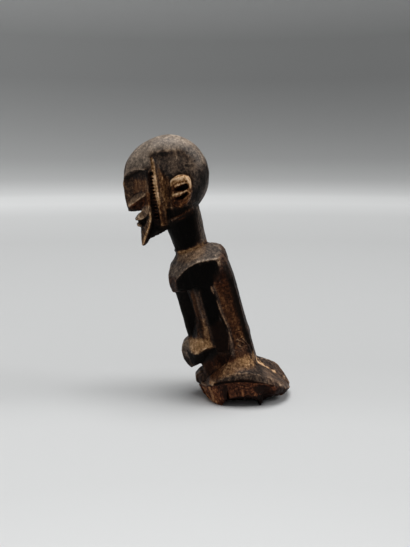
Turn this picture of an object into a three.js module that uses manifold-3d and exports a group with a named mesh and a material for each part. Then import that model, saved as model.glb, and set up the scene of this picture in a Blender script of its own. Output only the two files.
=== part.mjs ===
// A small wooden statuette carved from one billet: a bald round head with a long pointed beard on a
// slanting neck, square shoulders, straight arms whose hands meet on the belly, and flared hips.
// The legs are broken away, and the figure stands on the stumps of its thighs.
// Millimetres. It faces -Y, its left side is +X and +Z is up.
// Profiles are pairs of (y, z). The neck and trunk are set out on a spine that leans forward, with
// x sideways, b behind the spine and a along it, and are then leaned into place.
import * as THREE from "three";
import { mergeVertices } from "three/addons/utils/BufferGeometryUtils.js";
import { ConvexGeometry } from "three/addons/geometries/ConvexGeometry.js";
import Module from "manifold-3d";

// Pose
const leanDegrees = 15.7;
const spineFoot = { y: 10.3, z: 16.6 };

// Skull
const skullRadius = 18.5;
const skullHalfWidth = 10.2;
const skullCentre = { y: -16.8, z: 98.3 };
const skullFullness = 3;
const skullTurns = 56;
const skullRings = 22;
const foreheadFlat = { depth: 1.1, y: -0.5, z: 0.87 };

// Face
const faceRoot = { x: 0.4, y: -33.7, z: 98.4 };
const faceEdge = { x: 10.2, y: -24.2 };
const faceFoot = 66;
const brow = { z: 97.6, rise: 0.4 };
const noseTop = { x: 0.8, y: -35.1, z: 99.4 };
const noseBulge = { x: 0.9, y: -35.8, z: 92 };
const noseTip = { x: 0.9, y: -33.4, z: 83.9 };
const noseBridge = { x: 2, y: -31.1, z: 100.4 };
const nostril = { x: 4.6, y: -28.4, z: 84.6, topY: -26.6, topZ: 88.6 };
const upperLip = { y: -30.6, top: 80.4, bottom: 78.7, lift: 3.4 };
const lowerLip = { y: -29.6, top: 77.3, bottom: 75.7, lift: 1 };
const lipRoot = -24.5;
const mouthHalfWidth = 3.6;

// Beard and jaw
const beardHalfWidth = 0.7;
const beardTip = { y: -27.8, z: 68.2 };
const beardTop = { y: -29.4, z: 84 };
const beardCheek = { x: 9.4, y: -22.6, z: 86 };
const throat = { x: 6, y: -17.3, z: 74.5 };
const jawFront = { x: 9.2, y: -16.7, z: 77.7 };
const nape = { x: 9.2, y: -2, z: 86.4 };

// Notched groove between the cheek and the frame of the face
const grooveTop = { front: -24.4, back: -21.9, z: 100.6, floor: 9 };
const grooveBend = { front: -23.8, back: -20.6, z: 86, floor: 7.7 };
const grooveFoot = { front: -23.2, back: -17.8, z: 74, floor: 3.6 };
const notchCount = 11;
const notchTop = { x: 9.4, y: -23.3, z: 99 };
const notchStep = { x: -0.26, y: 0.13, z: -1.9 };
const notchHalf = { y: 0.9, z: 0.45 };
const notchRoot = 3;

// Temple
const templeDepth = 0.8;
const templeTop = { front: -20.2, frontZ: 105.6, back: -5, backZ: 106.6 };
const templeFoot = { front: -17, frontZ: 82, back: -3, backZ: 98 };

// Ears
const earFace = 12.2;
const earHeight = 13.7;
const earLength = 9;
const earCentre = { y: -10.4, z: 92.4 };
const earRoundness = 12;
const earCutDepth = 2;
const earCuts = [
  { frontZ: 93.1, lowZ: 93.1, highZ: 96.6 },
  { frontZ: 89, lowZ: 89.8, highZ: 92.5 },
];

// Neck
const neckRadius = 6.9;
const neckTopRadius = 8;
const neckAxis = -1.8;
const neckBase = 47;
const neckTop = 73;
const neckSides = 24;

// Shoulders
const shoulderHalfWidth = 15.6;
const shoulderHeight = 47.9;
const shoulderFold = 41.6;
const shoulderUnderside = 37;
const chestFront = -15.1;
const chestHalfWidth = 7.5;
const backFlat = 12.7;
const backRounding = 0.7;
const backCorner = 11.4;
const neckSeat = 51.8;
const neckCollar = 0.9;

// Trunk and arms
const trunkFoot = -6;
const loinFront = -11.6;
const loinHalfWidth = 12.8;
const columnFront = -14;
const columnHalfWidth = 4.6;
const flankFront = -5;
const armFace = 13.8;
const armFront = -3.9;
const armBack = 3.4;
const armRoot = { x: 6.8, b: -9 };
const cornerCut = 1;

// Forearms and hands
const handsFront = -18.9;
const handsRidge = 9.8;
const handsTop = 14.4;
const handsUnderside = 0.4;
const handsHalfWidth = 3;
const wrist = { x: 10.8, b: -10.3 };

// Hips and rump
const hipHalfWidth = 21.6;
const hipCentre = 17.5;
const hipFront = -0.9;
const hipBack = 34.6;
const hipRidge = 15.9;
const hipRidgeFall = 0.016;
const hipBandDepth = 3.4;
const hipBandFall = 0.02;
const waist = { halfWidth: 13.6, front: 3, back: 22.4, z: 18.4 };
const ringSteps = 28;
const rumpTop = { x: 6, y: 22, z: 15.8 };
const rumpBend = { x: 7, y: 32, z: 12.4 };
const rumpTip = { x: 2, y: 38.7, z: 4.2 };
const rumpSide = { x: 17.6, y: 30.4, z: 9 };
const rumpFoot = 0.6;
const cleftFloor = 9.6;

// Stumps
const stumpHalfWidth = 20;
const stumpFront = -0.2;
const stumpBack = 32.5;
const stumpChamfer = 3.4;
const stumpSlant = { left: 0.26, right: 0.1, reach: 12 };
const archFront = 8.5;
const archBack = 24.5;
const archHeight = 3.6;

// The small knob below the hands
const knobFront = -4.2;
const knobTop = 13.4;
const knobFoot = 4.6;
const knobHalfWidth = 2.8;
const knobRoot = { x: 4.6, y: 3 };

const clear = 20;
const darkPatina = 0x2b211c;

const wasm = await Module();
wasm.setup();

// A closed three.js geometry as a solid that can be joined and cut.
function solid(geometry) {
  const bare = geometry.clone();
  bare.deleteAttribute("normal");
  bare.deleteAttribute("uv");
  const merged = mergeVertices(bare, 1e-4);
  return new wasm.Manifold(
    new wasm.Mesh({
      numProp: 3,
      vertProperties: merged.attributes.position.array,
      triVerts: new Uint32Array(merged.index.array),
    }),
  );
}

// The mass whose faces are stretched tight over some (x, y, z) corners.
function hull(corners) {
  return solid(new ConvexGeometry(corners.map((corner) => new THREE.Vector3(...corner))));
}

function bothSides(corners) {
  return [...corners, ...corners.map(([x, y, z]) => [-x, y, z])];
}

function joined(solids) {
  return solids.reduce((whole, next) => whole.add(next));
}

// A (y, z) outline as a plate that runs across the figure to halfWidth on each side.
function plate(outline, halfWidth) {
  const shape = new THREE.Shape(outline.map(([y, z]) => new THREE.Vector2(y, z)));
  const geometry = new THREE.ExtrudeGeometry(shape, { depth: 2 * halfWidth, bevelEnabled: false });
  const across = new THREE.Matrix4().makeBasis(
    new THREE.Vector3(0, 1, 0),
    new THREE.Vector3(0, 0, 1),
    new THREE.Vector3(1, 0, 0),
  );
  return solid(geometry.applyMatrix4(across).translate(-halfWidth, 0, 0));
}

const leanAngle = THREE.MathUtils.degToRad(leanDegrees);
const lean = new THREE.Matrix4()
  .makeTranslation(0, spineFoot.y, spineFoot.z)
  .multiply(new THREE.Matrix4().makeRotationX(leanAngle));

// Corners given as (x, b, a) along the leaning spine, in the figure's own frame.
function leaned(corners) {
  return corners.map((corner) => new THREE.Vector3(...corner).applyMatrix4(lean).toArray());
}

// A plan outline of (x, b) pairs, drawn up the leaning spine from a0 to a1.
function post(outline, a0, a1) {
  const shape = new THREE.Shape(outline.map(([x, b]) => new THREE.Vector2(x, b)));
  const geometry = new THREE.ExtrudeGeometry(shape, { depth: a1 - a0, bevelEnabled: false });
  return solid(geometry.translate(0, 0, a0).applyMatrix4(lean));
}

// The skull is a thick lens: a true circle from the side, full and narrow from the front.
function skullLens() {
  const profile = [];
  for (let i = 0; i <= skullRings; i += 1) {
    const turn = -Math.PI / 2 + (Math.PI * i) / skullRings;
    const radius = i % skullRings === 0 ? 0 : skullRadius * Math.cos(turn) ** (2 / skullFullness);
    profile.push(new THREE.Vector2(radius, skullHalfWidth * Math.sin(turn)));
  }
  const lens = new THREE.LatheGeometry(profile, skullTurns).rotateZ(-Math.PI / 2);
  const place = lens.getAttribute("position");
  for (let i = 0; i < place.count; i += 1) {
    const reach = (place.getY(i) * foreheadFlat.y + place.getZ(i) * foreheadFlat.z) / skullRadius;
    const pull = foreheadFlat.depth * Math.max(reach, 0) ** 4;
    place.setY(i, place.getY(i) - pull * foreheadFlat.y);
    place.setZ(i, place.getZ(i) - pull * foreheadFlat.z);
  }
  return solid(lens.translate(0, skullCentre.y, skullCentre.z));
}

// Two flat cheek planes meet in a V behind the nose, cut in under a brow that rises to each side.
function facePlane(side) {
  const flare = (faceEdge.y - faceRoot.y) / faceEdge.x;
  const depth = (x, z) => faceRoot.y - (z - faceRoot.z) * Math.tan(leanAngle) + x * flare;
  const front = faceRoot.y - clear;
  const corners = [];
  for (const x of [faceRoot.x, faceEdge.x + clear]) {
    for (const z of [brow.z + brow.rise * x, faceFoot]) {
      corners.push([side * x, depth(x, z), z], [side * x, Math.min(front, depth(x, z) - 1), z]);
    }
  }
  return hull(corners);
}

// A thin ridge in front, widening to the nostrils at its foot.
function nose() {
  return hull(
    bothSides([
      [noseTop.x, noseTop.y, noseTop.z],
      [noseBulge.x, noseBulge.y, noseBulge.z],
      [noseTip.x, noseTip.y, noseTip.z],
      [noseBridge.x, noseBridge.y, noseBridge.z],
      [noseBridge.x, nostril.y, noseBridge.z - 4.4],
      [noseTip.x, nostril.y, noseTip.z - 0.9],
      [nostril.x, nostril.y, nostril.z],
      [nostril.x, nostril.topY, nostril.topZ],
    ]),
  );
}

// Each lip is a wedge that stands out from the face and runs back along the cheeks.
function lip({ y, top, bottom, lift }) {
  const edge = mouthHalfWidth * 0.8;
  const corner = mouthHalfWidth * 1.33;
  return hull(
    bothSides([
      [edge, y, top],
      [edge, y, bottom],
      [mouthHalfWidth, y + 1.6, top + 1],
      [mouthHalfWidth, y + 1.6, bottom],
      [corner, lipRoot, top + lift],
      [mouthHalfWidth, lipRoot, bottom],
    ]),
  );
}

// The lower face tapers from the cheeks to the point of the beard, and back to the throat.
function beard() {
  return hull(
    bothSides([
      [beardHalfWidth, beardTip.y, beardTip.z],
      [beardHalfWidth, beardTip.y + 0.9, beardTip.z - 0.3],
      [beardHalfWidth, beardTop.y + 1.2, beardTop.z - 8],
      [beardHalfWidth, beardTop.y, beardTop.z],
      [beardHalfWidth * 5, beardTip.y + 2.9, beardTip.z + 7.3],
      [throat.x + 1.6, beardCheek.y - 0.3, beardCheek.z - 5],
      [beardCheek.x, beardCheek.y, beardCheek.z],
      [beardCheek.x - 1, throat.y + 2.3, beardCheek.z - 2],
      [throat.x, throat.y, throat.z],
      [throat.x - 2.4, throat.y - 4, throat.z - 1.4],
    ]),
  );
}

// A groove sinks between the cheek and the upright ridge that frames the face, and opens below it.
function faceGroove(side) {
  const stretch = (...ends) =>
    hull(
      ends.flatMap(({ front, back, z, floor }) => [
        [side * floor, front, z],
        [side * floor, back, z],
        [side * clear, front - 1, z],
        [side * clear, back, z],
      ]),
    );
  return stretch(grooveTop, grooveBend).add(stretch(grooveBend, grooveFoot));
}

// One tooth left standing across the groove.
function grooveTooth(side, i) {
  const x = notchTop.x + i * notchStep.x;
  const y = notchTop.y + i * notchStep.y;
  const z = notchTop.z + i * notchStep.z;
  const corners = [];
  for (const [depth, grow] of [[0, 1], [notchRoot, 1.33]]) {
    for (const [dy, dz] of [[-1, -1], [1, -1], [-1, 1], [1, 1]]) {
      corners.push([side * (x - depth), y + dy * notchHalf.y * grow, z + dz * notchHalf.z * grow]);
    }
  }
  return hull(corners);
}

// The temple is hollowed between the face frame, the edge of the cap and the ear.
function templeHollow(side) {
  const face = skullHalfWidth - templeDepth;
  return hull([
    [side * face, templeTop.front, templeTop.frontZ],
    [side * face, templeTop.back, templeTop.backZ],
    [side * (face - 0.6), templeFoot.back, templeFoot.backZ],
    [side * (face - 1.4), templeFoot.front, templeFoot.frontZ],
    [side * clear, templeTop.front - 1.2, templeTop.frontZ + 1.8],
    [side * clear, templeTop.back + 3, templeTop.backZ + 1.8],
    [side * clear, templeFoot.back + 5, templeFoot.backZ - 2],
    [side * clear, templeFoot.front, templeFoot.frontZ - 4],
  ]);
}

// The jaw ends in a clean edge that climbs from the throat to the nape.
function jawCut(side) {
  return hull([
    [side * jawFront.x, jawFront.y, jawFront.z],
    [side * nape.x, nape.y, nape.z],
    [side * jawFront.x * 0.33, jawFront.y + 2.7, jawFront.z - 4.7],
    [side * clear, jawFront.y - 1.8, jawFront.z - 0.3],
    [side * clear, nape.y + 2, nape.z + 2],
    [side * clear, jawFront.y + 6.7, jawFront.z - 7.7],
    [side * clear, nape.y + 4, nape.z - 6.4],
  ]);
}

// The ear is a raised pad, square in front and rounded behind, with a small bevel at its rim.
function ear(side) {
  const hinge = earCentre.y - earLength * 0.18;
  const front = earCentre.y - earLength * 0.48;
  const pad = [
    [front, earCentre.z - earHeight * 0.36],
    [front, earCentre.z + earHeight * 0.42],
  ];
  for (let i = 0; i <= earRoundness; i += 1) {
    const turn = (Math.PI * i) / earRoundness;
    pad.push([
      hinge + earLength * 0.62 * Math.sin(turn),
      earCentre.z + (earHeight / 2) * Math.cos(turn),
    ]);
  }
  const layer = (x, size) =>
    pad.map(([y, z]) => [
      side * x,
      earCentre.y + (y - earCentre.y) * size,
      earCentre.z + (z - earCentre.z) * size,
    ]);
  return hull([...layer(skullHalfWidth - 2, 1), ...layer(earFace - 0.8, 1), ...layer(earFace, 0.87)]);
}

// Each cut starts as a line at the front of the ear and opens and deepens towards the back.
function earCut(side, { frontZ, lowZ, highZ }) {
  const front = earCentre.y - earLength * 0.46;
  const back = earCentre.y + earLength * 0.26;
  const floor = side * (earFace - earCutDepth);
  const slope = 0.5;
  return hull([
    [side * clear, front, frontZ - slope],
    [side * clear, front, frontZ + slope],
    [side * clear, back, lowZ],
    [side * clear, back, highZ],
    [side * (earFace - earCutDepth * 0.4), front, frontZ],
    [floor, back, lowZ + slope],
    [floor, back, highZ - slope],
  ]);
}

function head() {
  let carved = skullLens();
  for (const side of [-1, 1]) {
    carved = carved.subtract(facePlane(side)).subtract(templeHollow(side));
  }
  carved = joined([carved, nose(), lip(upperLip), lip(lowerLip), beard()]);
  for (const side of [-1, 1]) {
    carved = carved.subtract(faceGroove(side)).subtract(jawCut(side));
    for (let i = 0; i < notchCount; i += 1) {
      carved = carved.add(grooveTooth(side, i));
    }
    carved = carved.add(ear(side));
    for (const cut of earCuts) {
      carved = carved.subtract(earCut(side, cut));
    }
  }
  return carved;
}

function neck() {
  const height = neckTop - neckBase;
  const shaft = new THREE.CylinderGeometry(neckTopRadius, neckRadius, height, neckSides)
    .rotateX(Math.PI / 2)
    .translate(0, neckAxis, neckBase + height / 2)
    .applyMatrix4(lean);
  return solid(shaft);
}

// Square shoulders: a sloping top, a crisp ridge that drops to the chest, and an upright side.
function shoulders() {
  const chest = [
    [5, chestFront + 4.5, shoulderHeight + 1.6],
    [6, chestFront + 1.8, shoulderHeight - 0.7],
    [7, chestFront + 0.6, shoulderHeight - 3.6],
    [chestHalfWidth, chestFront, shoulderHeight - 7.1],
    [chestHalfWidth, chestFront + 0.4, shoulderUnderside],
  ];
  const back = [
    [neckRadius - 1.4, backFlat - 3.1, neckSeat - 0.8],
    [neckRadius, backFlat - 1.1, neckSeat - 2],
    [backCorner, backFlat - backRounding, shoulderHeight - 1.3],
    [backCorner, backFlat - backRounding, shoulderUnderside],
    [backCorner - 4, backFlat, shoulderHeight - 0.5],
    [backCorner - 4, backFlat, shoulderUnderside],
  ];
  const sides = [
    [shoulderHalfWidth - 1.6, chestFront + 2.5, shoulderUnderside],
    [armFace + 0.5, armBack - 0.6, shoulderUnderside],
    [shoulderHalfWidth, backFlat - 3.3, shoulderHeight],
    [shoulderHalfWidth - 0.5, backFlat - 2.3, shoulderHeight - 3],
  ];
  const ridge = [];
  const ridgeSteps = 6;
  for (let i = 0; i <= ridgeSteps; i += 1) {
    const turn = (Math.PI / 2) * (i / ridgeSteps);
    ridge.push([
      shoulderHalfWidth - 1.8 * Math.sin(turn) ** 2,
      1 + (chestFront + 0.7) * Math.sin(turn),
      shoulderFold + (shoulderHeight - shoulderFold) * Math.cos(turn),
    ]);
  }
  const collar = [];
  const collarSteps = 10;
  for (let i = 0; i <= collarSteps; i += 1) {
    const turn = (Math.PI * i) / collarSteps;
    collar.push([
      (neckRadius + neckCollar) * Math.sin(turn),
      neckAxis - (neckRadius + neckCollar) * Math.cos(turn),
      neckSeat + 0.5 - 0.6 * Math.cos(turn),
    ]);
  }
  return hull(leaned(bothSides([...chest, ...back, ...sides, ...ridge, ...collar])));
}

// A broad flat back, a narrow column in front of it and a fuller loin below.
function trunk() {
  const mirrored = (outline) => [...outline, ...outline.map(([x, b]) => [-x, b]).reverse()];
  const back = mirrored([
    [armFace - 0.6, armFront + 1],
    [armFace - 0.6, armBack + 1],
    [backCorner, backFlat - backRounding],
    [backCorner - 4, backFlat],
  ]);
  const column = mirrored([
    [columnHalfWidth - cornerCut, columnFront],
    [columnHalfWidth, columnFront + cornerCut],
    [columnHalfWidth + 1, flankFront],
  ]);
  const loin = mirrored([
    [loinHalfWidth * 0.55, loinFront],
    [loinHalfWidth - 0.4, flankFront],
    [loinHalfWidth, armBack],
  ]);
  return joined([
    post(back, trunkFoot, shoulderUnderside + 4),
    post(column, handsUnderside + 4, shoulderUnderside + 2),
    post(loin, trunkFoot, handsRidge - 1),
  ]);
}

// The upper arm has a slanting front facet, an upright ridge and a flat side with a cut behind it.
function arm(side) {
  const outline = [
    [armRoot.x, armRoot.b],
    [armFace - 1.2, armFront - 0.9],
    [armFace, armFront],
    [armFace + 0.2, armBack],
    [armFace - 1.2, armBack + 0.8],
    [armRoot.x, armBack],
  ].map(([x, b]) => [side * x, b]);
  if (side < 0) {
    outline.reverse();
  }
  return post(outline, trunkFoot + 1, shoulderUnderside + 1);
}

// Forearms and hands are one wedge round the belly: lit above its ridge and cut under below.
function hands() {
  const middle = [
    [handsHalfWidth - 0.5, columnFront - 0.6, handsTop],
    [handsHalfWidth - 0.4, handsFront + 2, handsTop - 1.35],
    [handsHalfWidth, handsFront + 0.3, handsRidge + 0.4],
    [handsHalfWidth, handsFront, handsRidge - 3.8],
    [handsHalfWidth - 0.4, handsFront + 1, handsUnderside + 2.4],
    [handsHalfWidth - 1, handsFront + 2.2, handsUnderside],
    [handsHalfWidth - 1, loinFront - 0.6, handsUnderside + 0.4],
    [2 * handsHalfWidth, handsFront + 2.5, handsRidge - 0.6],
    [2 * handsHalfWidth + 0.4, handsFront + 3.9, handsUnderside + 3.6],
  ];
  const forearm = [
    [wrist.x, wrist.b, handsRidge],
    [wrist.x - 0.2, wrist.b + 1.9, handsUnderside + 2.6],
    [wrist.x - 3.3, wrist.b - 0.2, handsTop + 1],
    [armFace - 1, armFront - 2.7, handsRidge + 0.6],
    [armFace + 0.1, armFront, handsRidge + 0.8],
    [armFace, armFront + 2.5, handsUnderside + 3.6],
  ];
  return hull(leaned(bothSides([...middle, ...forearm])));
}

// A ring of corners round the hips: full-sided in plan, with its height given by a rule in y.
function hipRing(halfWidth, front, back, heightAt, fullness = 0.75) {
  const ring = [];
  const middle = (front + back) / 2;
  const halfLength = (back - front) / 2;
  for (let i = 0; i < ringSteps; i += 1) {
    const turn = (2 * Math.PI * i) / ringSteps;
    const across = Math.sign(Math.cos(turn)) * Math.abs(Math.cos(turn)) ** fullness;
    const along = Math.sign(Math.sin(turn)) * Math.abs(Math.sin(turn)) ** fullness;
    const y = middle + halfLength * along;
    ring.push([halfWidth * across, y, heightAt(y)]);
  }
  return ring;
}

// Hips flare out to a ridge, drop in an upright band and are undercut below it.
function hips() {
  const crown = (y) => waist.z - 0.16 * Math.max(y - waist.back + 8.4, 0);
  const ridge = (y) => hipRidge - hipRidgeFall * (y - hipCentre) ** 2 - 0.12 * Math.max(y - 20, 0);
  const bandFoot = (y) => hipRidge - hipBandDepth - hipBandFall * (y - hipCentre) ** 2;
  return hull([
    ...hipRing(waist.halfWidth, waist.front, waist.back, crown),
    ...hipRing(hipHalfWidth - 0.9, hipFront + 0.4, hipBack - 2.6, ridge),
    ...hipRing(hipHalfWidth, hipFront, hipBack, bandFoot),
  ]);
}

// The buttocks are two low lobes, parted by a cleft that runs back from the trunk.
function rump() {
  const lobes = hull(
    bothSides([
      [rumpTop.x, rumpTop.y, rumpTop.z],
      [rumpBend.x, rumpBend.y - 4, rumpBend.z + 1.2],
      [rumpBend.x, rumpBend.y, rumpBend.z],
      [rumpBend.x - 0.5, rumpBend.y + 1.8, rumpBend.z - 1.4],
      [rumpBend.x - 1, rumpBend.y + 4.2, rumpBend.z - 4.5],
      [rumpTip.x, rumpTip.y, rumpTip.z],
      [rumpTip.x + 7, rumpTip.y - 1.8, rumpTip.z + 0.8],
      [rumpTip.x + 7, rumpTip.y - 2.7, rumpTip.z - 1.8],
      [2 * rumpBend.x, rumpBend.y - 2, rumpBend.z - 0.5],
      [2 * rumpBend.x, rumpBend.y + 1.6, rumpBend.z - 3],
      [rumpSide.x, rumpSide.y - 6.4, rumpSide.z + 4],
      [rumpSide.x, rumpSide.y, rumpSide.z],
      [rumpSide.x - 0.8, rumpSide.y + 1.6, rumpSide.z - 3.6],
      [rumpSide.x - 0.6, rumpSide.y - 8.4, rumpFoot + 2.4],
      [2 * rumpBend.x - 1, rumpBend.y - 2, rumpFoot],
    ]),
  );
  const cleft = hull([
    [0, waist.back, rumpTop.z + 1.2],
    [0, rumpBend.y - 1.5, cleftFloor],
    [0, rumpTip.y + 0.3, cleftFloor - 4],
    ...bothSides([
      [6, waist.back, rumpTop.z + 6.2],
      [5.4, rumpBend.y - 1.5, cleftFloor + 6],
      [4, rumpTip.y + 1.3, cleftFloor + 1],
    ]),
  ]);
  return lobes.subtract(cleft);
}

// What is left of the thighs: rough below the band, flat where it stands, with an arch between.
function stumps() {
  const underBand = (y) => hipRidge - hipBandDepth - 1 - hipBandFall * (y - hipCentre) ** 2;
  const broken = (ring) =>
    ring.map(([x, y, z]) => {
      const slant = Math.max(x, 0) * stumpSlant.left + Math.max(-x, 0) * stumpSlant.right;
      return [x, y + slant * Math.max(1 - (y - stumpFront) / stumpSlant.reach, 0), z];
    });
  const chamfer = hipRing(stumpHalfWidth - 0.8, stumpFront - 2, stumpBack - 1, () => stumpChamfer, 0.5);
  const sole = hipRing(stumpHalfWidth - 2.4, stumpFront, stumpBack - 2.5, () => 0, 0.4);
  const mass = hull([
    ...hipRing(stumpHalfWidth, stumpFront - 2.4, stumpBack, underBand),
    ...broken(chamfer),
    ...broken(sole),
  ]);
  const arch = [
    [archFront - 1.6, -1],
    [archFront - 1, 0],
    [archFront + 3.4, archHeight - 0.4],
    [archBack - 5, archHeight],
    [archBack - 1, archHeight - 2],
    [archBack, 0],
    [archBack + 0.6, -1],
  ];
  return mass.subtract(plate(arch, stumpHalfWidth + clear));
}

// A small worn knob between the belly and the stumps.
function knob() {
  return hull(
    bothSides([
      [knobHalfWidth, knobRoot.y, knobTop],
      [knobHalfWidth, knobFront + 1.8, knobTop - 2],
      [knobHalfWidth, knobFront, knobTop - 4],
      [knobHalfWidth, knobFront, knobFoot + 3],
      [knobHalfWidth, knobFront + 1.1, knobFoot + 1],
      [knobHalfWidth, knobRoot.y, knobFoot],
      [knobRoot.x, knobRoot.y, (knobTop + knobFoot) / 2],
    ]),
  );
}

function carvedFigure() {
  return joined([
    head(),
    neck(),
    shoulders(),
    trunk(),
    arm(1),
    arm(-1),
    hands(),
    hips(),
    rump(),
    stumps(),
    knob(),
  ]);
}

// The finished solid as a geometry whose origin is on the ground under the middle of its box.
function groundedGeometry(figure) {
  const mesh = figure.getMesh();
  const geometry = new THREE.BufferGeometry();
  geometry.setAttribute("position", new THREE.BufferAttribute(mesh.vertProperties, 3));
  geometry.setIndex(new THREE.BufferAttribute(mesh.triVerts, 1));
  geometry.computeBoundingBox();
  const box = geometry.boundingBox;
  geometry.translate(-(box.min.x + box.max.x) / 2, -(box.min.y + box.max.y) / 2, -box.min.z);
  const flat = geometry.toNonIndexed();
  flat.computeVertexNormals();
  return flat;
}

const wood = new THREE.MeshStandardMaterial({ color: darkPatina, roughness: 0.5, metalness: 0 });
const figure = new THREE.Mesh(groundedGeometry(carvedFigure()), wood);
figure.name = "carved_figure";

const statuette = new THREE.Group();
statuette.add(figure);

export default statuette;
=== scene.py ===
import itertools
import math

import bmesh
import bpy
import numpy as np
from mathutils import Matrix, Vector, kdtree


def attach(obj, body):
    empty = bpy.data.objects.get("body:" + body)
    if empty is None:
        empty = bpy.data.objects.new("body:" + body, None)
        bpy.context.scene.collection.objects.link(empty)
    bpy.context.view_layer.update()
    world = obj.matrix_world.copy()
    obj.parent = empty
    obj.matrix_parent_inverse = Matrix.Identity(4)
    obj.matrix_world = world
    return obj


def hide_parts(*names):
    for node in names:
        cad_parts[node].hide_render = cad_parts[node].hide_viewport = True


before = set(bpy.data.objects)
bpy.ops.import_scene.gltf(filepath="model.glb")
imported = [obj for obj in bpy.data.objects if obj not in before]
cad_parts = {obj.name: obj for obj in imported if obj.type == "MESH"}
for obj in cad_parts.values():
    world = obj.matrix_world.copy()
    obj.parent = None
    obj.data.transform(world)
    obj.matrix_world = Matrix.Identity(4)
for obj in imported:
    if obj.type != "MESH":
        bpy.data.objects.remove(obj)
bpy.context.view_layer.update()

# Camera
# The figure is seen from its left side, from close by and a little above, so that the hips are
# seen from higher up than the head. Sizes are in millimetres and become metres where they are used.
# The figure is drawn 1.45 mm behind where it stands, with the camera level with the drawing's y = 0.
MM = 0.001
drawn_behind = 1.45
camera_distance = 368.3
camera_height = 120.3
camera_pitch = math.radians(10)
focal_pixels = 842
image_height = 547
sensor_mm = 36
nearest_seen = 10
furthest_seen = 20000

lens = bpy.data.cameras.new("camera")
lens.sensor_width = sensor_mm
lens.lens = sensor_mm * focal_pixels / image_height
lens.clip_start = nearest_seen * MM
lens.clip_end = furthest_seen * MM
camera = bpy.data.objects.new("camera", lens)
camera.location = Vector((camera_distance, -drawn_behind, camera_height)) * MM
camera.rotation_euler = (math.pi / 2 - camera_pitch, 0, math.pi / 2)
bpy.context.scene.collection.objects.link(camera)
bpy.context.scene.camera = camera


# Head
# The skull is one thick lens of wood, a true circle from the side and narrow from the front.
# It was rounded with a knife and then rubbed smooth by years of handling.
skull_radius = 18.5
skull_half_width = 10.2
skull_centre = (0, -16.8, 98.3)
forehead_flat = 1.1
forehead_way = Vector((0, -0.5, 0.87))
rim_fullness = 1 / 3


def as_object(mass, name):
    """Puts a mass in the scene as an object of its own."""
    mesh = bpy.data.meshes.new(name)
    mass.to_mesh(mesh)
    mass.free()
    made = bpy.data.objects.new(name, mesh)
    bpy.context.scene.collection.objects.link(made)
    return made


ball = bmesh.new()
bmesh.ops.create_uvsphere(ball, u_segments=96, v_segments=48, radius=1)
bmesh.ops.rotate(ball, verts=ball.verts, matrix=Matrix.Rotation(math.pi / 2, 3, "Y"))
# It is fuller towards its rim than a flattened ball, and shaved flatter above the forehead
for vert in ball.verts:
    out = math.hypot(vert.co.y, vert.co.z)
    swell = skull_radius * out ** -rim_fullness if out > 1e-6 else 0
    vert.co = Vector((vert.co.x * skull_half_width, vert.co.y * swell, vert.co.z * swell))
    reach = max(vert.co.dot(forehead_way) / skull_radius, 0)
    vert.co -= forehead_way * forehead_flat * reach ** 4
    vert.co += Vector(skull_centre)
head = as_object(ball, "head")

# Face
# Two flat cheek planes are cut back under an arched, overhanging brow and leave the nose standing
# as a narrow wedge. The wings of the nose and the lips are bars that climb back along the cheeks.
# It is a schematic carved face, cut with a knife in the same wood.
reach_out = 20
in_front = -50
beside_nose = (2.6, -31.2, 98)
cheek_slant = 1.015
cheek_fall = 0.06
brow_arch = [(0.6, 97.3), (2.4, 98.6), (4, 99.7), (6, 100.9), (8, 101.6), (9.4, 101.3), (10.6, 99.6)]


def hewn(corners):
    """A mass with its faces stretched tight over a few corners, as flat cuts leave it."""
    mass = bmesh.new()
    for corner in corners:
        mass.verts.new(corner)
    made = bmesh.ops.convex_hull(mass, input=mass.verts)
    inside = made["geom_interior"] + made["geom_unused"]
    spare = {item for item in inside if isinstance(item, bmesh.types.BMVert)}
    bmesh.ops.delete(mass, geom=list(spare), context="VERTS")
    bmesh.ops.recalc_face_normals(mass, faces=mass.faces)
    return mass


def both_sides(corners):
    """Corners given for the near side, and the same ones mirrored."""
    return [tuple(corner) for corner in corners] + [(-x, y, z) for x, y, z in corners]


def mirrored(side, corners):
    """A mass given for the near side, on that side (1) or on the far one (-1)."""
    return hewn([(side * x, y, z) for x, y, z in corners])


def work(wood, mass, operation):
    """Joins a mass to the wood, or cuts it out of the wood, and leaves the tool unseen."""
    tool = as_object(mass, "tool")
    step = wood.modifiers.new("work", "BOOLEAN")
    step.operation = operation
    step.solver = "EXACT"
    step.object = tool
    bpy.context.view_layer.update()
    worked = wood.evaluated_get(bpy.context.evaluated_depsgraph_get())
    wood.data = bpy.data.meshes.new_from_object(worked)
    wood.modifiers.clear()
    bpy.data.objects.remove(tool)


def cut(wood, mass):
    work(wood, mass, "DIFFERENCE")


def add(wood, mass):
    work(wood, mass, "UNION")


cheek_cut = []
for x, z in brow_arch + [(reach_out, 96), (0.6, 66), (reach_out, 66)]:
    cheek = beside_nose[1] + (x - beside_nose[0]) * cheek_slant + (beside_nose[2] - z) * cheek_fall
    cheek_cut += [(x, cheek, z), (x, in_front, z)]
for side in (-1, 1):
    cut(head, mirrored(side, cheek_cut))
    cut(head, mirrored(side, [
        (8.5, -23.6, 107.9), (8.7, -17, 108.9), (8, -9.6, 109.4), (8.6, -4.4, 103), (8.5, -4.6, 92),
        (8.8, -21.5, 98), (7.4, -15, 78), (reach_out, -24.2, 109.4), (reach_out, -8, 111),
        (reach_out, -1, 104), (reach_out, -1, 90), (reach_out, -17, 74),
    ]))

add(head, hewn(both_sides([
    (0.7, -35, 98.8), (0.8, -35.8, 95), (0.8, -35, 88.9), (0.9, -34.2, 85.4), (1.1, -33, 83.1),
    (2.2, -31.8, 100), (2.8, -31.1, 96), (2.9, -31.3, 88), (2.3, -31.8, 83.7), (2.6, -28.4, 83.4),
    (3, -28, 99),
])))

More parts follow.
